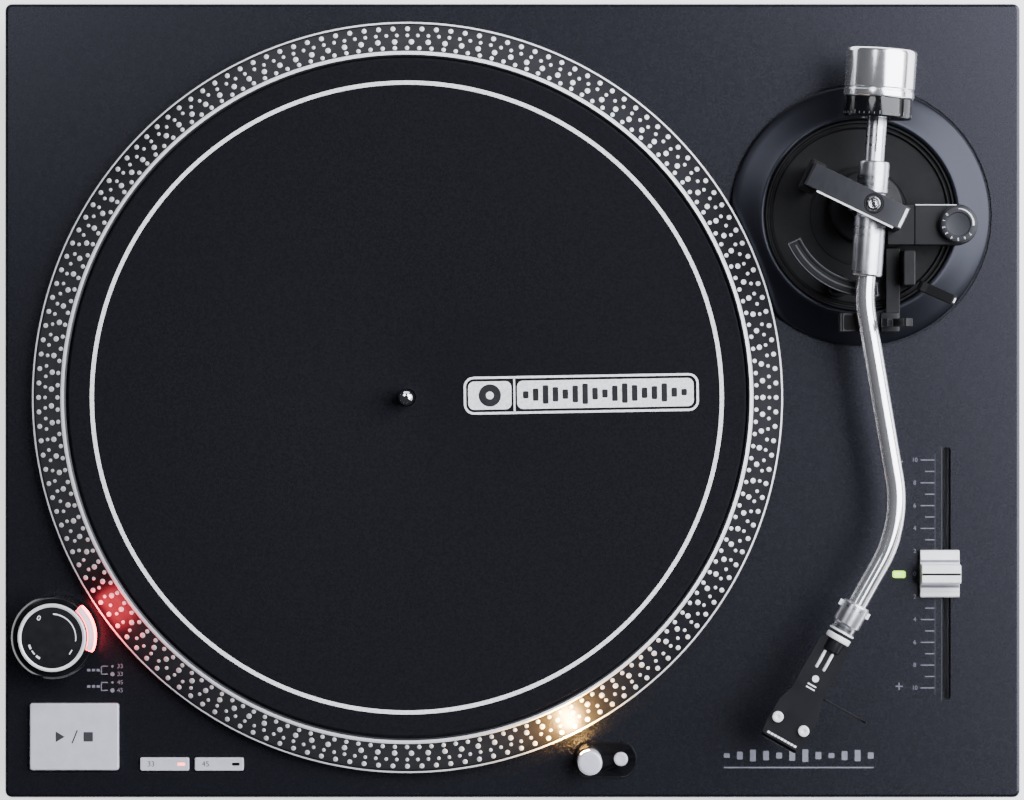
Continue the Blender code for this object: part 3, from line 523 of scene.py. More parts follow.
def build_platter():
    at = spot(*PLATTER_AT)
    outline = ((3.9, 92), (14, 92), (14, 100.5), (77, 100.5), (77, 93.5), (81, 93.5), (81, 100.5),
               (149, 100.5), (149, 92.5), (164.8, 92), (166, 92.8), (166, 94.6), (165.7, 95.2), (165.2, 95.4),
               *SLOPE, (152.2, 106.9), (151.7, 107.35), (150.8, 107.5), (150.0, 107.3), (149.7, 106.8),
               (149.6, 105), (3.9, 105))

    def polished(centre, normal):
        reach = hypot(centre.x, centre.y)
        outer = reach > 165.1 and centre.z > 92.9
        return outer or (150.7 < reach < 152.35 and centre.z > 106.2)

    add("platter_casting", turned(outline, 0, 360, hollow=True), ["casting", "lip"], "platter",
        at, ["platter"], 22, choose=polished)

    rise = (SLOPE[1][1] - SLOPE[0][1]) / (SLOPE[0][0] - SLOPE[1][0])
    lean = atan2(rise, 1.0)
    tip = Matrix.Rotation(lean, 4, "Y")
    dots = []
    for reach, count, size in DOT_ROWS:
        height = SLOPE[0][1] + (SLOPE[0][0] - reach) * rise
        for i in range(count):
            rings = []
            for share, lift in DOT_DOME:
                ring = circle(size * share, steps=12)
                rings.append([(x / cos(lean), y, lift) for x, y in ring])
            dots.append(set_at(loft(rings), spot(0, 0, 0, 360 * i / count) @ spot(reach, 0, height) @ tip))
    add("strobe_dots", joined(dots), "dot", "platter", at, smooth=60)

    spindle = ((0.05, 55.3), (3.6, 55.3), (3.6, 117.2), (3.3, 118.8), (2.7, 120.1), (1.8, 120.8), (0.9, 121),
               (0.05, 121))
    add("spindle_pin", turned(spindle, 0.1, 64), "chrome", "platter", at, ["spindle"], 50)

    felt = ((3.9, 105.3), (148.5, 105.3), (149, 105.7), (149, 107.5), (148.4, FELT_TOP), (3.9, FELT_TOP))
    mat = add("felt_slipmat", turned(felt, 0.2, 360, hollow=True), "felt", "slipmat", at,
              ["slipmat"], 50)
    low = FELT_TOP - 0.3
    high = FELT_TOP + 0.06
    ring = ((137.5, low), (139.3, low), (139.3, high), (137.5, high))
    line = add("slipmat_ring_print", turned(ring, steps=360, hollow=True), "felt_ink", "slipmat", at)
    middle = Vector((30.25 - PLATTER_AT[0], 3.0 - PLATTER_AT[1]))
    swing = Matrix.Rotation(radians(BADGE_TURN), 2)

    def on_badge(u):
        return tuple(middle + swing @ Vector((u, 0)))

    def label(width, depth, corner, u):
        return rectangle(width, depth, corner, on_badge(u), BADGE_TURN)

    border = frame_line(103.3, 16.6, 4.4, 1.0, low, high, tuple(middle), BADGE_TURN)
    fields = [label(19.0, 12.4, 2.6, -40.2), label(77.6, 12.4, 2.6, 10.6), label(0.8, 15.4, 0, -29.4)]
    badge = add("slipmat_badge_print", joined([border, prisms(fields, low, high)]), "felt_ink", "slipmat",
                at)
    heights = (3.2, 5.4, 8.2, 6.4, 4.2, 7.4, 9.0, 5.2, 3.6, 6.8, 8.6, 7.0, 4.6, 5.8, 8.0, 4.0, 2.8)
    dark = [label(2.5, height, 0.6, -24.4 + 4.35 * i) for i, height in enumerate(heights)]
    dark.append(circle(4.9, on_badge(-40.2)))
    marks = add("slipmat_badge_marks", prisms(dark, high, high + 0.05), "felt_dark", "slipmat", at)
    eye = add("slipmat_badge_eye", prism(circle(1.7, on_badge(-40.2)), high + 0.05, high + 0.1), "felt_ink",
              "slipmat", at)


# ---------------------------------------------------------------- front controls

TOWER_AT = (-201.8, -103.9)


def build_power():
    at = spot(*TOWER_AT)
    wall = ((0.3, 88.3), (18.4, 88.3), (18.4, 109.6), (17.4, 111.5), (0.3, 111.5))
    tower = add("tower_body", turned(wall, 0.5), "gloss", "chassis", at, ["strobe_tower"])
    pocket = prism(band(15.2, 21, -21, 49), 96.7, 120)
    cut(tower, [pocket, rod(3.3, 100, 120, 48, 0.2)])
    lens = ((18.2, 97), (18.2, 105.2), (17.9, 106.6), (16.9, 109.3), (16.6, 109.5))
    rings = [raised(band(15.5, outer, -20, 48), z) for outer, z in lens]
    add("tower_lens", loft(rings), ["lens", "lens_side"], "chassis", at, ["strobe_lens"],
        choose=lambda centre, normal: abs(normal.z) < 0.4 and centre.z < 106)
    knob = ((0.2, 100.6), (3.0, 100.6), (3.0, 111.8), (15, 111.8), (15, 114.6), (14.8, 115.4), (14.4, 115.7),
            (13.6, 115.65), (13.4, 115.5), (0.2, 115.5))
    add("power_dial", turned(knob, 0, 144, ribs=(72, 0.25, 112.3, 114.2)), ["black", "lip"],
        "power_knob", at, ["power_knob"],
        choose=lambda centre, normal: hypot(centre.x, centre.y) > 13.45 and centre.z > 113.9)
    face = 115.5
    arc = band((10.15, 10.35), 10.75, 87, -8)
    tail = [band(10.4 - w, 10.4 + w, 197 + 16 * i, 208 + 16 * i) for i, w in enumerate((0.45, 0.3, 0.45))]
    zero = frame_line(1.5, 2.1, 0.7, 0.35, face, face + INK, polar(10.4, 123), -20)
    one = rectangle(0.5, 2.2, 0, polar(10.4, -37), -30)
    add("power_dial_marks", joined([prisms([arc, *tail, one], face, face + INK), zero]), "ink",
        "power_knob", at)


def build_legend():
    """The small key to the strobe rows: a bracket, a dot and a speed for each pair of rows."""
    rows = ((-117.7, 0.55, "33"), (-121.2, 0.95, "33"), (-124.9, 0.55, "45"), (-128.4, 0.95, "45"))
    shapes = [circle(size, (-177.3, y), 20) for y, size, speed in rows]
    for top, low in ((-117.7, -121.2), (-124.9, -128.4)):
        middle = (top + low) / 2
        shapes.append(rectangle(0.45, top - low, 0, (-182.2, middle)))
        shapes += [rectangle(2.9, 0.45, 0, (-180.8, y)) for y in (top, low)]
        shapes += [rectangle(1.5, 1.1, 0.2, (-187.8 + 2.1 * i, middle)) for i in range(3)]
    add("row_key_print", prisms(shapes, TOP, TOP + INK), "grey_ink", "chassis")
    for i, (y, size, speed) in enumerate(rows):
        letter(f"row_key_speed_{i}", speed, 2.7, "grey_ink", "chassis", spot(-173.9, y, TOP))


def build_keys():
    x, y = -194.0, -148.8
    add("start_key", prism(rectangle(39.4, 29.7, 1.2), 84.3, 90.9), "button", "start_stop_button",
        spot(x, y), ["start_stop_button"], bevel=0.7)
    play = ((-8.2, 2.4), (-8.2, -2.4), (-4.2, 0.0))
    slash = rectangle(0.6, 6.2, 0, (0.2, 0), -22)
    stop = rectangle(4.2, 4.2, 0.3, (6.2, 0))
    add("start_key_print", prisms([play, slash, stop], 90.9, 90.9 + INK), "dark_ink", "start_stop_button",
        spot(x, y))
    lines = [frame_line(43.0, 33.3, 1.6, 0.3, TOP, TOP + 0.12, (x, y)),
             frame_line(48.9, 8.6, 1.2, 0.25, TOP, TOP + 0.12, (-142.0, -161.0))]
    add("key_frames", joined(lines), "black", "chassis")
    for speed, x in (("33", -154.1), ("45", -129.9)):
        at = spot(x, -161.0)
        body = f"speed_button_{speed}"
        add(f"speed_key_{speed}", prism(rectangle(21.7, 5.9, 0.8), 84.3, 89.6), "button", body,
            at, [body], bevel=0.45)
        letter(f"speed_digits_{speed}", speed, 3.3, "dark_ink", body,
               spot(x - 6.0, -161.0, 89.6))
        lit = "red_lit" if speed == "33" else "gloss"
        add(f"speed_window_{speed}", prism(rectangle(3.4, 1.3, 0.5, (7.4, 0)), 89.6, 89.68), lit, body,
            at)


LAMP_AT = (34.1, -159.4)
LAMP_TURN = 116.6


def build_lamp():
    lamp_at = spot(*LAMP_AT, 0, LAMP_TURN)
    release_at = spot(48.0, -158.7)
    insets = ((0, 88.3), (0, 89.2), (0.15, 89.5), (0.5, 89.8), (0.9, 89.8))
    rings = [raised(rectangle(28 - 2 * i, 16 - 2 * i, 7.9 - i, (41, -159), steps=14), z) for i, z in insets]
    bezel = add("lamp_bezel", loft(rings), "gloss", "chassis")
    well = set_at(rod(5.7, 42, 95, 64, 0.2), spot(*LAMP_AT))
    press = set_at(rod(3.4, 87, 95, 48, 0.2), release_at)
    cut(bezel, [well, press])
    dress("black", "lamp_housing")
    lamp = ((0.1, 58.3), (5.4, 58.3), (5.4, 96.2), (5.15, 96.5), (5.15, 97.0), (5.4, 97.3), (5.4, 105.6),
            (5.1, 106.2), (4.4, 106.5), (0.1, 106.5))
    barrel = add("lamp_barrel", turned(lamp, 0.15, 96), "button", "target_lamp", lamp_at,
                 ["target_lamp"])
    eye_at = spot(0, 0, 101.6) @ ACROSS
    cut(barrel, [set_at(rod(2.3, 2.0, 8.0, 32), eye_at)])
    bulb = set_at(turned(((0.1, 2.0), (2.1, 2.0), (2.1, 3.6), (1.4, 4.5), (0.1, 4.8)), 0.5, 24), eye_at)
    add("lamp_bulb", bulb, "lamp_lit", "target_lamp", lamp_at)
    tip = ((0.1, 84), (3.1, 84), (3.1, 90.8), (2.7, 91.2), (2.2, 91.3), (0.1, 91.15))
    add("lamp_release", turned(tip, 0.1, 64), "button", "lamp_button", release_at,
        ["lamp_button"])


SCALE_Y = -76.8                     # the pitch scale's zero
SCALE_STEP = 5.05


def build_fader():
    x, y = 192.5, -76.6
    at = spot(189.15, y)
    half = ((10.45, 88.6), (10.45, 91.2), (9.85, 91.9), (8.1, 92.1), (7.9, 92.35), (5.0, 92.5), (4.4, 93.2),
            (4.1, 100.2), (3.5, 101))
    side = [(-10.45, 88.6), *half, *[(-far, z) for far, z in half[:0:-1]]]
    add("fader_cap", stood(rounded_line(side, 0.5, 4, closed=True), -8.65, 8.65, "YZ"), "white",
        "pitch_knob", at, ["pitch_knob"], bevel=0.35)
    add("fader_stem", slab(2.55, 4.15, -4, 4, 76, 88.8), "plain_steel", "pitch_knob", at)
    add("fader_cap_line", prism(rectangle(17.0, 0.95), 101, 101 + INK), "matt", "pitch_knob",
        at)
    # Painted shade: grey strips on the cap's low shelves, next to the steps, stand for the shadows the steps
    # cast.
    steps = [rectangle(16.9, 1.1, 0, (0, far)) for far in (-5.6, 5.6)]
    add("fader_cap_step_shade", prisms(steps, 92.3, 92.62), "grey_ink", "pitch_knob", at)
    lips = [slab(x + near - 0.35, x + near + 0.35, y - 55.6, y + 55.6, 84.6, 85.3) for near in (-1.4, 1.4)]
    add("fader_slot_lips", joined(lips), "rubber", "chassis")
    # Painted highlight: the thin line 2.25 mm left of the slot's middle stands for light on the slot's edge;
    # the line at 187.3 runs along the scale's tick ends.
    edges = [rectangle(0.25, 112.0, 0, (x - 2.25, y)), rectangle(0.25, 107, 0, (187.3, SCALE_Y))]
    add("fader_slot_highlight_and_scale_line", prisms(edges, TOP, TOP + INK), "dim_ink", "chassis")
    ticks = []
    for i in range(-10, 11):
        start = 180.9 if i % 2 == 0 else 182.9
        ticks.append(rectangle(187.0 - start, 0.42, 0, ((187.0 + start) / 2, SCALE_Y + SCALE_STEP * i)))
    add("fader_scale", prisms(ticks, TOP, TOP + INK), "grey_ink", "chassis")
    for i in range(-10, 11, 2):
        letter(f"fader_digit_{i + 10}", str(abs(i)), 2.6, "grey_ink", "chassis",
               spot(178.3, SCALE_Y + SCALE_STEP * i, TOP))
    add("pitch_lamp", prism(rectangle(5.5, 3.0, 0.8), 84.3, 88.5), "green_lit", "chassis",
        spot(171.4, -77.0), ["pitch_light"], bevel=0.3)
    signs = [rectangle(3.2, 0.5, 0, (171.4, -27.0)), rectangle(3.2, 0.5, 0, (171.4, -126.6)),
             rectangle(0.5, 3.2, 0, (171.4, -126.6))]
    add("fader_signs", prisms(signs, TOP, TOP + INK), "grey_ink", "chassis")
    levels = (2.0, 3.4, 5.2, 4.2, 2.6, 4.6, 5.6, 3.2, 2.2, 4.0, 5.0, 2.8)
    bars = [rectangle(2.6, level, 0.4, (95 + 5.8 * i, -157.3)) for i, level in enumerate(levels)]
    bars.append(rectangle(66.4, 0.6, 0, (126.9, -162.6)))
    add("corner_meter_print", prisms(bars, TOP, TOP + INK), "grey_ink", "chassis")


# ---------------------------------------------------------------- tonearm base

def build_arm_base():
    at = spot(*PIVOT_AT)
    base_at = spot(*BASE_AT)
    ring = ((42.5, 86.8), (57.5, 86.8), (57.5, 88.7), (57.2, 89.0), (56.4, 89.4), (53.6, 90.25), (50.5, 91.2),
            (47.4, 92.2), (44.9, 93.0), (43.8, 93.3), (43.0, 93.2), (42.5, 92.8))
    add("base_ring", turned(ring, 0, 240, hollow=True), "ring_lacquer", "chassis", base_at,
        ["arm_base_ring"], 50)
    plate = ((0.5, 86.8), (42.2, 86.8), (42.2, 91.6), (41.7, 92.0), (41.1, 92.0), (40.8, 91.4), (40.6, 90.3),
             (39.9, 90.2), (39.7, 90.8), (39.2, 90.9), (38.8, 90.2), (38.3, 89.6), (22.2, 89.6), (22.0, 90.0),
             (21.4, 90.0), (21.2, 89.6), (0.5, 89.6))
    add("base_plate", turned(plate, 0, 200), "matt", "chassis", base_at,
        ["arm_base_plate"], 30)
    post_at = at @ spot(*polar(36.75, 250))
    boss = ((3.3, 89.5), (5.0, 89.5), (5.0, 101.6), (4.6, 102), (3.3, 102))
    add("lift_guide", turned(boss, 0.2, 48, hollow=True), "black", "chassis", post_at)
    pedestal = ((0.1, 89.9), (16.5, 89.9), (16.5, 98.6), (15.6, 100), (8, 100), (8, 112), (6, 114),
                (2, 114.5), (1.2, 117.7), (0.1, 117.7))
    add("pedestal", turned(pedestal, 0.5, 120), "black", "chassis", at,
        ["pivot_pedestal"])

    yoke_at = at @ Matrix.Rotation(radians(-25.7), 4, "Z")
    arch = ((-30.6, 89.9), (-26, 89.9), (-26, 138.6), (11.2, 138.6), (11.2, 100.3), (15.4, 100.3),
            (15.4, 143.4), (-30.6, 143.4))
    soft = [0.2, 0.2, 2.5, 2.5, 0.2, 0.2, 1.4, 1.4]
    outline = rounded_line(arch, soft, 5, closed=True)
    yoke = add("yoke_bridge", stood(outline, -5.2, 5.2), "bar", "chassis", yoke_at,
               ["gimbal_yoke"])
    hole = ((0.1, 136), (3.4, 136), (3.4, 142.6), (4.3, 142.6), (4.3, 146), (0.1, 146))
    cut(yoke, [turned(hole, steps=64)])
    soften(yoke, 0.5, 40)
    add("yoke_cheek", stood(rectangle(7.5, 12.0, 1.4, (-28.4, 128.0)), -7.0, 7.0), "matt", "chassis",
        yoke_at, bevel=0.8)
    strip = [slab(-24.5, 12.0, -6.1, -5.25, 141.0, 143.0), slab(13.7, 14.9, -4.4, 4.4, 143.38, 143.5)]
    add("yoke_strip", joined(strip), "lip", "chassis", yoke_at, bevel=0.1)
    pin = ((0.1, 138.3), (1.2, 138.3), (3.1, 139.9), (3.1, 143.6), (2.7, 144), (1.9, 144), (1.7, 143.7),
           (1.2, 143.7), (1.0, 143.95), (0.1, 143.95))
    add("yoke_screw", turned(pin, 0.1, 64), "chrome", "chassis", at, ["yoke_pivot_screw"])
    washer = ((3.45, 142.65), (4.15, 142.65), (4.15, 143.3), (3.45, 143.3))
    add("yoke_lock_nut", turned(washer, 0.1, 64, hollow=True), "black", "chassis", at)

    def on_lips(centre, normal):
        reach = hypot(centre.x, centre.y)
        return normal.z > 0.5 and (reach < 35.2 or 38.6 < reach)

    levels = ((33.6, 39.9, 119.2), (33.5, 40, 119.4), (33.5, 40, 122.9), (33.8, 39.7, 123.2),
              (34.9, 38.9, 123.2), (35.1, 38.7, 122.7))
    rings = [raised(band(inner, outer, 204, 276, steps=40), z) for inner, outer, z in levels]
    add("lift_arc", loft(rings), ["black", "matt"], "lift_platform", at,
        ["lift_platform"], choose=on_lips)
    # Painted highlights: light lines round the top edges of the lift arc stand for light catching those
    # edges; one more faint line runs along its groove.
    edges = [band(33.7, 34.1, 205, 275, steps=40), band(39.4, 39.8, 205, 275, steps=40),
             band(34.1, 39.4, 205, 205.7, steps=4), band(34.1, 39.4, 274.3, 275, steps=4)]
    lines = [prisms(edges, 123.2, 123.28), prism(band(36.5, 37.2, 208, 272, steps=40), 122.68, 122.8)]
    add("lift_arc_edge_highlights_and_groove_line", joined(lines), "dim_ink", "lift_platform", at)
    add("lift_post", rod(3.0, 95.5, 121, 40, soft=0.2), "steel", "lift_platform", post_at)

    tray = ((142.4, 119.5), (164.5, 119.5), (164.5, 95.5), (168.5, 95.5), (168.5, 127.5), (160.7, 127.5),
            (160.7, 123.2), (143.9, 123.2), (143.9, 124.5), (142.4, 124.5))
    add("rest_cradle", stood(rounded_line(tray, 0.8, 4, closed=True), 30, 38.4), "black", "chassis",
        None, ["arm_rest"], bevel=0.4)
    add("rest_pad", prism(rectangle(14.0, 6.4, 0.8, (152.0, 34.2)), 123.2, 123.6), "rubber", "chassis")
    spar = ((30.5, 94.4), (48, 94.4), (48, 89.9), (67.5, 89.9), (67.5, 98), (30.5, 98))
    add("rest_spar", stood(spar, 164.7, 171.1, "YZ"), "black", "chassis", None, bevel=0.5)

    hook = ((2.1, -2.1), (2.1, 3.0), (1.2, 3.6), (-13.3, 3.4), (-13.9, 2.8), (-13.9, -1.0), (-12.2, -1.0),
            (-12.2, 2.0), (-1.6, 2.0), (-1.6, -1.2))
    clip_at = spot(163, 34, 131.8) @ Matrix.Rotation(radians(125), 4, "Y")
    add("clip_hook", stood(rounded_line(hook, 0.6, 4, closed=True), -1.8, 1.8), "black", "arm_clip",
        clip_at, ["arm_clip"], bevel=0.3)

    house = prism(rectangle(5.3, 15.5, 0.9, (174.15, 58.25)), 89.9, 113)
    add("cue_tower", house, "black", "chassis", None, ["cue_housing"], bevel=0.6)
    lever = ((-2.2, -1.6), (0, -2.4), (2.4, -1.6), (15.5, -1.3), (16.5, 0), (15.5, 1.3), (2.4, 1.6), (0, 2.4),
             (-2.2, 1.6))
    lever_at = spot(180.6, 50, 108, -25.1) @ Matrix.Rotation(radians(-25), 4, "Y")
    add("cue_handle", stood(rounded_line(lever, 0.8, 4, closed=True), -2.2, 2.2), "matt", "cue_lever",
        lever_at, ["cue_lever"], bevel=0.4)
    # Painted highlight: a white cap on the lever's outer tip.
    add("cue_handle_tip_highlight", slab(15.4, 16.3, -1.2, 1.2, -0.3, 0.9), "ink", "cue_lever",
        lever_at, bevel=0.2)

    x, y = 195.9, 77.5
    nose = [(x + 9 * sin(radians(a)), y - 9 * cos(radians(a))) for a in range(0, 181, 6)]
    bracket = [prism([(177, 68.5), *nose, (177, 86.5)], 94.4, 104), slab(177.5, 191, 69, 86, 89.9, 94.5),
               slab(165, 178, 68.5, 86.5, 100.3, 103.5)]
    add("antiskate_bracket", joined(bracket), "black", "chassis", None,
        ["antiskate_block"], bevel=0.5)
    # Painted highlight: a white strip along the bracket's rear top edge.
    add("antiskate_edge_highlight", slab(177.5, 195.5, 86.05, 86.4, 104, 104.12), "ink", "chassis")
    wheel = ((0.1, 98), (2.5, 98), (2.5, 104.3), (8.3, 104.3), (8.3, 109.1), (7.6, 109.9), (5.4, 110),
             (5.1, 109.7), (0.1, 109.7))
    wheel_at = spot(x, y)
    add("antiskate_wheel", turned(wheel, 0.15, 120, ribs=(40, 0.35, 104.8, 108.9)), "bar", "antiskate_knob",
        wheel_at, ["antiskate_knob"])
    for i in range(8):
        t = 140 + 180 * i / 7
        letter(f"antiskate_digit_{i}", str(i), 1.7, "ink", "antiskate_knob",
               wheel_at @ spot(*polar(6.6, t), 109.75, t - 90), thick=0.3)
    add("antiskate_arc", prism(band((6.7, 6.2), 7.0, 90, -5), 109.7, 110.0), "ink", "antiskate_knob",
        wheel_at)


# ---------------------------------------------------------------- tonearm

ARM_AT = spot(*PIVOT_AT, 128, -4)
FIRST_BEND = 13.6
SHELL_TOP = 1.2
HEAD_TURN = FIRST_BEND - 38.75


def forward(turn):
    """The way the arm points once it has turned by degrees."""
    return Vector((sin(radians(turn)), -cos(radians(turn))))


def build_tonearm():
    first = Vector((0.0, -42.5))
    second = first + 97.9 * forward(FIRST_BEND)
    last = forward(HEAD_TURN)
    path = [(0.0, -22.5), tuple(first), tuple(second), tuple(second + last * (108.9 - 54.6))]
    line = rounded_line(path, [0, 55, 58, 0], 18)
    full = []
    for a, b in zip(line, line[1:]):
        gap = hypot(b[0] - a[0], b[1] - a[1])
        parts = max(1, round(gap / 8))
        full += [(a[0] + (b[0] - a[0]) * i / parts, a[1] + (b[1] - a[1]) * i / parts) for i in range(parts)]
    full.append(line[-1])
    add("arm_tube", swept(full, 4.25, 48), "tube", "tonearm", ARM_AT, ["tonearm_tube"], 60)

    laid = ARM_AT @ LAID
    ring = ((8.2, -3), (10, -3), (10, 3), (8.2, 3))
    gimbal = add("gimbal_hoop", turned(ring, 0.5, 96, hollow=True), "satin", "gimbal", laid,
                 ["gimbal_ring"])
    cut(gimbal, [set_at(rod(1.8, -20, 20, 32), ACROSS)])
    for side, sign in (("left", -1), ("right", 1)):
        pin = ((0.1, 6.6), (0.6, 6.6), (1.5, 7.4), (1.5, 10.2), (1.2, 10.4), (0.1, 10.4))
        shape = turned([(radius, sign * z) for radius, z in pin], 0.1, 32)
        add(f"pitch_pin_{side}", shape, "chrome", "gimbal", ARM_AT @ ACROSS, [f"pitch_screw_{side}"])
    sleeve = ((0.1, -22.2), (4.55, -22.2), (4.55, -31.2), (6.3, -31.2), (6.7, -30.9), (6.9, -30.4),
              (6.9, -5.5), (6.0, -5), (6.0, 5), (6.9, 5.5), (6.9, 17.9), (6.7, 18.7), (6.3, 19), (4.35, 19),
              (4.35, 55.2), (3.85, 56), (0.1, 56))
    add("arm_sleeve_body", turned(sleeve, 0.2, 96), "satin", "tonearm", laid, ["arm_sleeve"])
    add("stub_slot", prism(rectangle(0.5, 30.0, 0.2, (0, 38)), 4.2, 4.4), "matt", "tonearm",
        ARM_AT)

    insert = ((4.65, 38.5), (7.0, 38.5), (7.0, 62), (4.65, 62))
    add("weight_bush", turned(insert, 0.3, 64, hollow=True), "steel", "counterweight_insert", laid,
        ["counterweight_insert"])
    weight = ((0.1, 64), (7.3, 64), (7.3, 46.7), (14.9, 46.7), (15.4, 47.2), (15.4, 49.6), (15.0, 50.0),
              (15.0, 50.6), (15.4, 51.0), (15.4, 66.4), (15.2, 67.3), (14.5, 67.8), (6.2, 67.8), (5.6, 67.2),
              (0.1, 67.0))
    add("weight_body", turned(weight, 0.15, 128), "weight", "counterweight", laid,
        ["counterweight"])
    dial = ((7.3, 37.9), (14.2, 37.9), (14.7, 38.2), (14.9, 38.7), (14.9, 46.4), (7.3, 46.4))
    add("dial_ring", turned(dial, 0.1, 120, hollow=True, ribs=(60, 0.3, 42.0, 46.2)), "gloss",
        "tracking_dial", laid, ["tracking_dial"])
    ticks = []
    for i in range(40):
        tall = 1.6 if i % 5 == 0 else 0.9
        tick = slab(-0.12, 0.12, 38.9, 38.9 + tall, 14.88, 14.95)
        ticks.append(set_at(tick, Matrix.Rotation(2 * pi * i / 40, 4, "Y")))
    add("dial_ticks", joined(ticks), "grey_ink", "tracking_dial", ARM_AT)
    build_head(ARM_AT @ spot(*(second + last * 108.9), 0, HEAD_TURN))


def build_head(at):
    laid = at @ LAID
    collar = ((4.55, 54.5), (5.2, 54.5), (5.2, 58.3), (6.0, 58.6), (6.2, 58.9), (6.2, 67.9), (6.0, 68.5),
              (5.6, 68.9), (4.55, 68.9))
    add("collar_sleeve", turned(collar, 0.1, 120, hollow=True, ribs=(40, 0.3, 60.2, 66.4)), "satin",
        "locking_collar", laid, ["locking_collar"])
    lugs = [slab(x - 0.9, x + 0.9, 65.0, 67.6, -1.2, 1.2) for x in (-6.4, 6.4)]
    flange = ((4.6, 54.6), (5.8, 54.6), (5.8, 55.4), (4.6, 55.4))
    lugs.append(set_at(turned(flange, 0.1, 64, hollow=True), LAID))
    add("collar_lugs", joined(lugs), "lip", "locking_collar", at, bevel=0.15)
    outline = [(-9.3, 0), (9.3, 0), (9.7, 6), (9.6, 16.5), (7.3, 23.5), (7.3, 48.5), (6, 50), (-6, 50),
               (-7.3, 48.5), (-7.3, 23.5), (-9.6, 16.5), (-9.7, 6)]
    shell = add("shell_plate", prism(rounded_line(outline, 1.6, 5, closed=True), -1.8, SHELL_TOP), "anodised",
                "tonearm", at, ["headshell"])
    holes = [prism(circle(1.5, (x, 9.2), 32), -4, 4) for x in (-6.4, 6.4)]
    slots = [prism(rectangle(1.9, 9.0, 0.9, (x, 40.4)), -4, 4) for x in (-2.3, 1.3)]
    cut(shell, holes + slots)
    soften(shell, 0.4, 40)
    wires = [swept([(x, 36.4, 0.2), (x, 38.6, 0.75), (x, 42.2, 0.75), (x, 44.5, 0.3)], 0.75, 16)
             for x in (-2.3, 1.3)]
    add("shell_slot_wires", joined(wires), "lip", "tonearm", at)
    add("shell_neck", rod(3.9, 45.5, 54, 64, soft=0.2), "black", "tonearm",
        laid)
    neck = ((0.1, 50.6), (5.2, 50.6), (5.6, 51.0), (5.6, 52.8), (5.2, 53.2), (0.1, 53.2))
    add("shell_neck_ring", turned(neck, 0.1, 64), "lip", "tonearm", laid)
    prints = [circle(1.5, (0, 31.6), 32)]
    prints += [rectangle(4.2, 0.6, 0.2, (0, y)) for y in (28.4, 26.9)]
    prints += [rectangle(1.3, 0.9, 0, (-6.5 + 1.62 * i, 1.5)) for i in range(9)]
    add("shell_print", prisms(prints, SHELL_TOP, SHELL_TOP + 0.06), "ink", "tonearm", at)
    body = ((17.0, 16.5, -2.1, 6.8), (17.0, 16.5, -5.1, 6.8), (13.2, 16.0, -6.6, 6.8),
            (12.0, 13.5, -14.5, 7.2))
    rings = [raised(rectangle(w, d, 1.0, (0, y)), z) for w, d, z, y in body]
    add("cartridge_body", loft(rings), "gloss", "tonearm", at, ["cartridge"], bevel=0.3)
    bolt = ((0.1, -4.6), (1.2, -4.6), (1.2, 1.5), (2.45, 1.5), (2.45, 2.6), (2.1, 3.1), (0.9, 3.1),
            (0.7, 2.7), (0.1, 2.7))
    for side, x in (("left", -6.4), ("right", 6.4)):
        add(f"cartridge_bolt_{side}", turned(bolt, 0.1, 48), "lip", "tonearm", at @ spot(x, 9.2),
            [f"cartridge_screw_{side}"])
    needle = ((6.5, 8.5, -14.8, 4.5), (6.5, 8.5, -15.3, 4.5), (5.0, 6.0, -16.1, 4.0), (1.6, 2.6, -16.6, 0.8),
              (0.6, 0.6, -18.0, 0.0))
    rings = [raised(rectangle(w, d, min(0.6, w * 0.35), (0, y)), z) for w, d, z, y in needle]
    add("stylus_carrier", loft(rings), ["button", "tube"], "tonearm", at, ["stylus"],
        choose=lambda centre, normal: centre.z < -16.3)
    lift = ((7.6, -1.6), (24.5, -1.6), (27.5, -0.6), (29.2, 1.6), (28.4, 2.4), (26.8, 0.4), (24.3, -0.2),
            (7.6, -0.2))
    add("finger_hook", stood(rounded_line(lift, 1.2, 4, closed=True), 24.8, 26.0), "anodised", "tonearm",
        at, ["finger_lift"], bevel=0.35)
    for i, look in enumerate(("red", "ink", "blue_wire", "green_wire")):
        x = -3.3 + 2.2 * i
        lead = rounded_line([(15.2, -10.5 + 1.6 * (i % 2)), (20.0, -9.5), (33.0, -4.4), (46.5, -3.2)], 4.0, 6)
        wire = swept([(x * (1 - 0.5 * k / len(lead)), y, z) for k, (y, z) in enumerate(lead)], 0.4, 12)
        add(f"signal_lead_{i}", wire, look, "tonearm", at)


# ---------------------------------------------------------------- back

PANEL_Y = 160.0                     # the recessed socket panel's face


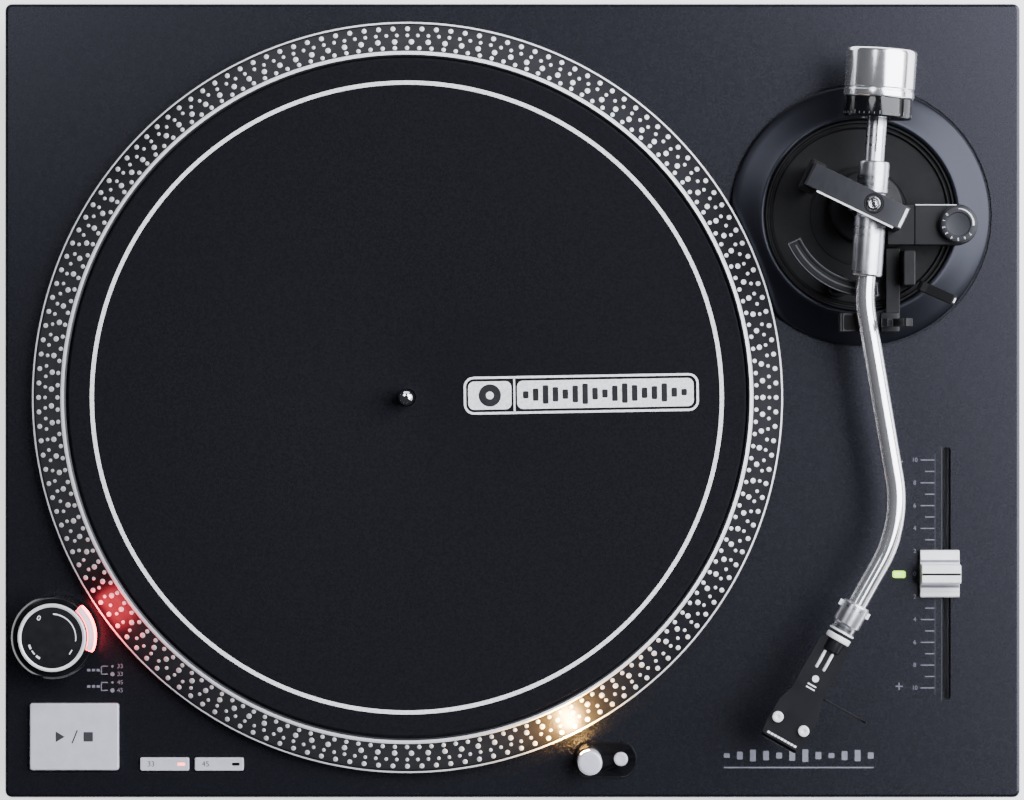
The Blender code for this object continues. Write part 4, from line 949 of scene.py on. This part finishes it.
def build_back():
    dress("matt", "rear_socket_panel", "power_inlet")
    for side, x, ring in (("left", 92.5, "white"), ("right", 110.5, "red")):
        at = spot(x, PANEL_Y, 53) @ LAID
        jack = ((1.7, 14.2), (1.7, 2.3), (5.6, 2.3), (5.6, 4.6), (4.2, 5.0), (4.2, 14.2), (4.0, 14.6),
                (1.9, 14.6))
        add(f"jack_barrel_{side}", turned(jack, 0.15, 64, hollow=True), "steel", "chassis", at,
            [f"rca_jack_{side}"])
        collar = ((4.25, 4.9), (5.4, 4.9), (5.4, 6.6), (4.25, 6.6))
        add(f"jack_colour_{side}", turned(collar, 0.2, 64, hollow=True), ring, "chassis", at)
    nut = ((0.1, 2.3), (2.2, 2.3), (2.2, 7.0), (4.2, 7.2), (4.6, 7.6), (4.6, 13.0), (4.2, 13.7), (2.0, 13.8),
           (0.1, 13.8))
    add("ground_nut", turned(nut, 0.15, 96, ribs=(32, 0.35, 8.0, 12.6)), "steel", "ground_terminal",
        spot(134, PANEL_Y, 53) @ LAID, ["ground_terminal"])
    pins = [slab(-155 + x - 0.9, -155 + x + 0.9, 159.2, 171, 52.2, 53.8) for x in (-3.4, 3.4)]
    add("inlet_pins", joined(pins), "brass", "chassis", bevel=0.2)
    screw = ((0.1, 2.0), (1.9, 2.0), (1.9, 2.6), (1.3, 3.0), (0.1, 3.0))
    screws = [set_at(turned(screw, 0.1, 24), spot(x, PANEL_Y, z) @ LAID)
              for x, z in ((76, 61), (144, 61), (76, 45), (144, 45))]
    add("socket_panel_screws", joined(screws), "plain_steel", "chassis")


# ---------------------------------------------------------------- light and camera

def softbox(name, at, towards, size, power, tint=(1.0, 1.0, 1.0)):
    light = bpy.data.lights.new(name, "AREA")
    light.shape = "RECTANGLE"
    light.size, light.size_y = size
    light.energy = power
    light.color = tint
    lamp = bpy.data.objects.new(name, light)
    lamp.location = at
    lamp.rotation_euler = (Vector(towards) - Vector(at)).to_track_quat("-Z", "Y").to_euler()
    bpy.context.scene.collection.objects.link(lamp)


def build_studio():
    mesh = mesh_of("studio_floor", prism(rectangle(6.0, 6.0), -0.02, -0.0005))
    mesh.materials.append(coat("studio_floor", linear(236, 236, 238), 0.8, shade=0.01, patches=3.0,
                               grain=60.0, depth=0.02, glow=1.6))
    floor = bpy.data.objects.new("studio_floor", mesh)
    bpy.context.scene.collection.objects.link(floor)

    world = bpy.data.worlds.new("studio")
    world.use_nodes = True
    sky = world.node_tree.nodes["Background"]
    sky.inputs["Color"].default_value = (0.80, 0.84, 0.92, 1.0)
    sky.inputs["Strength"].default_value = 0.05
    bpy.context.scene.world = world
    middle = (0.0, 0.0, 0.08)
    softbox("key", (1.30, 0.45, 1.5), middle, (1.8, 2.15), 126, (0.93, 0.95, 1.0))
    softbox("back_left", (-0.5, 0.6, 1.6), middle, (0.5, 0.5), 5, (0.93, 0.95, 1.0))
    softbox("back_low", (0.0, 1.9, 0.6), middle, (2.4, 0.5), 8)
    softbox("right_low", (1.9, 0.0, 0.6), middle, (2.4, 0.5), 6)

    camera_data = bpy.data.cameras.new("camera")
    camera_data.sensor_width = 36.0
    camera_data.lens = 185.6
    camera = bpy.data.objects.new("camera", camera_data)
    camera.location = (-0.0002, 0.0003, 2.428)
    bpy.context.scene.collection.objects.link(camera)
    bpy.context.scene.camera = camera


def main():
    build_casing()
    build_drive()
    build_platter()
    build_power()
    build_legend()
    build_keys()
    build_lamp()
    build_fader()
    build_arm_base()
    build_tonearm()
    build_back()
    build_studio()


main()
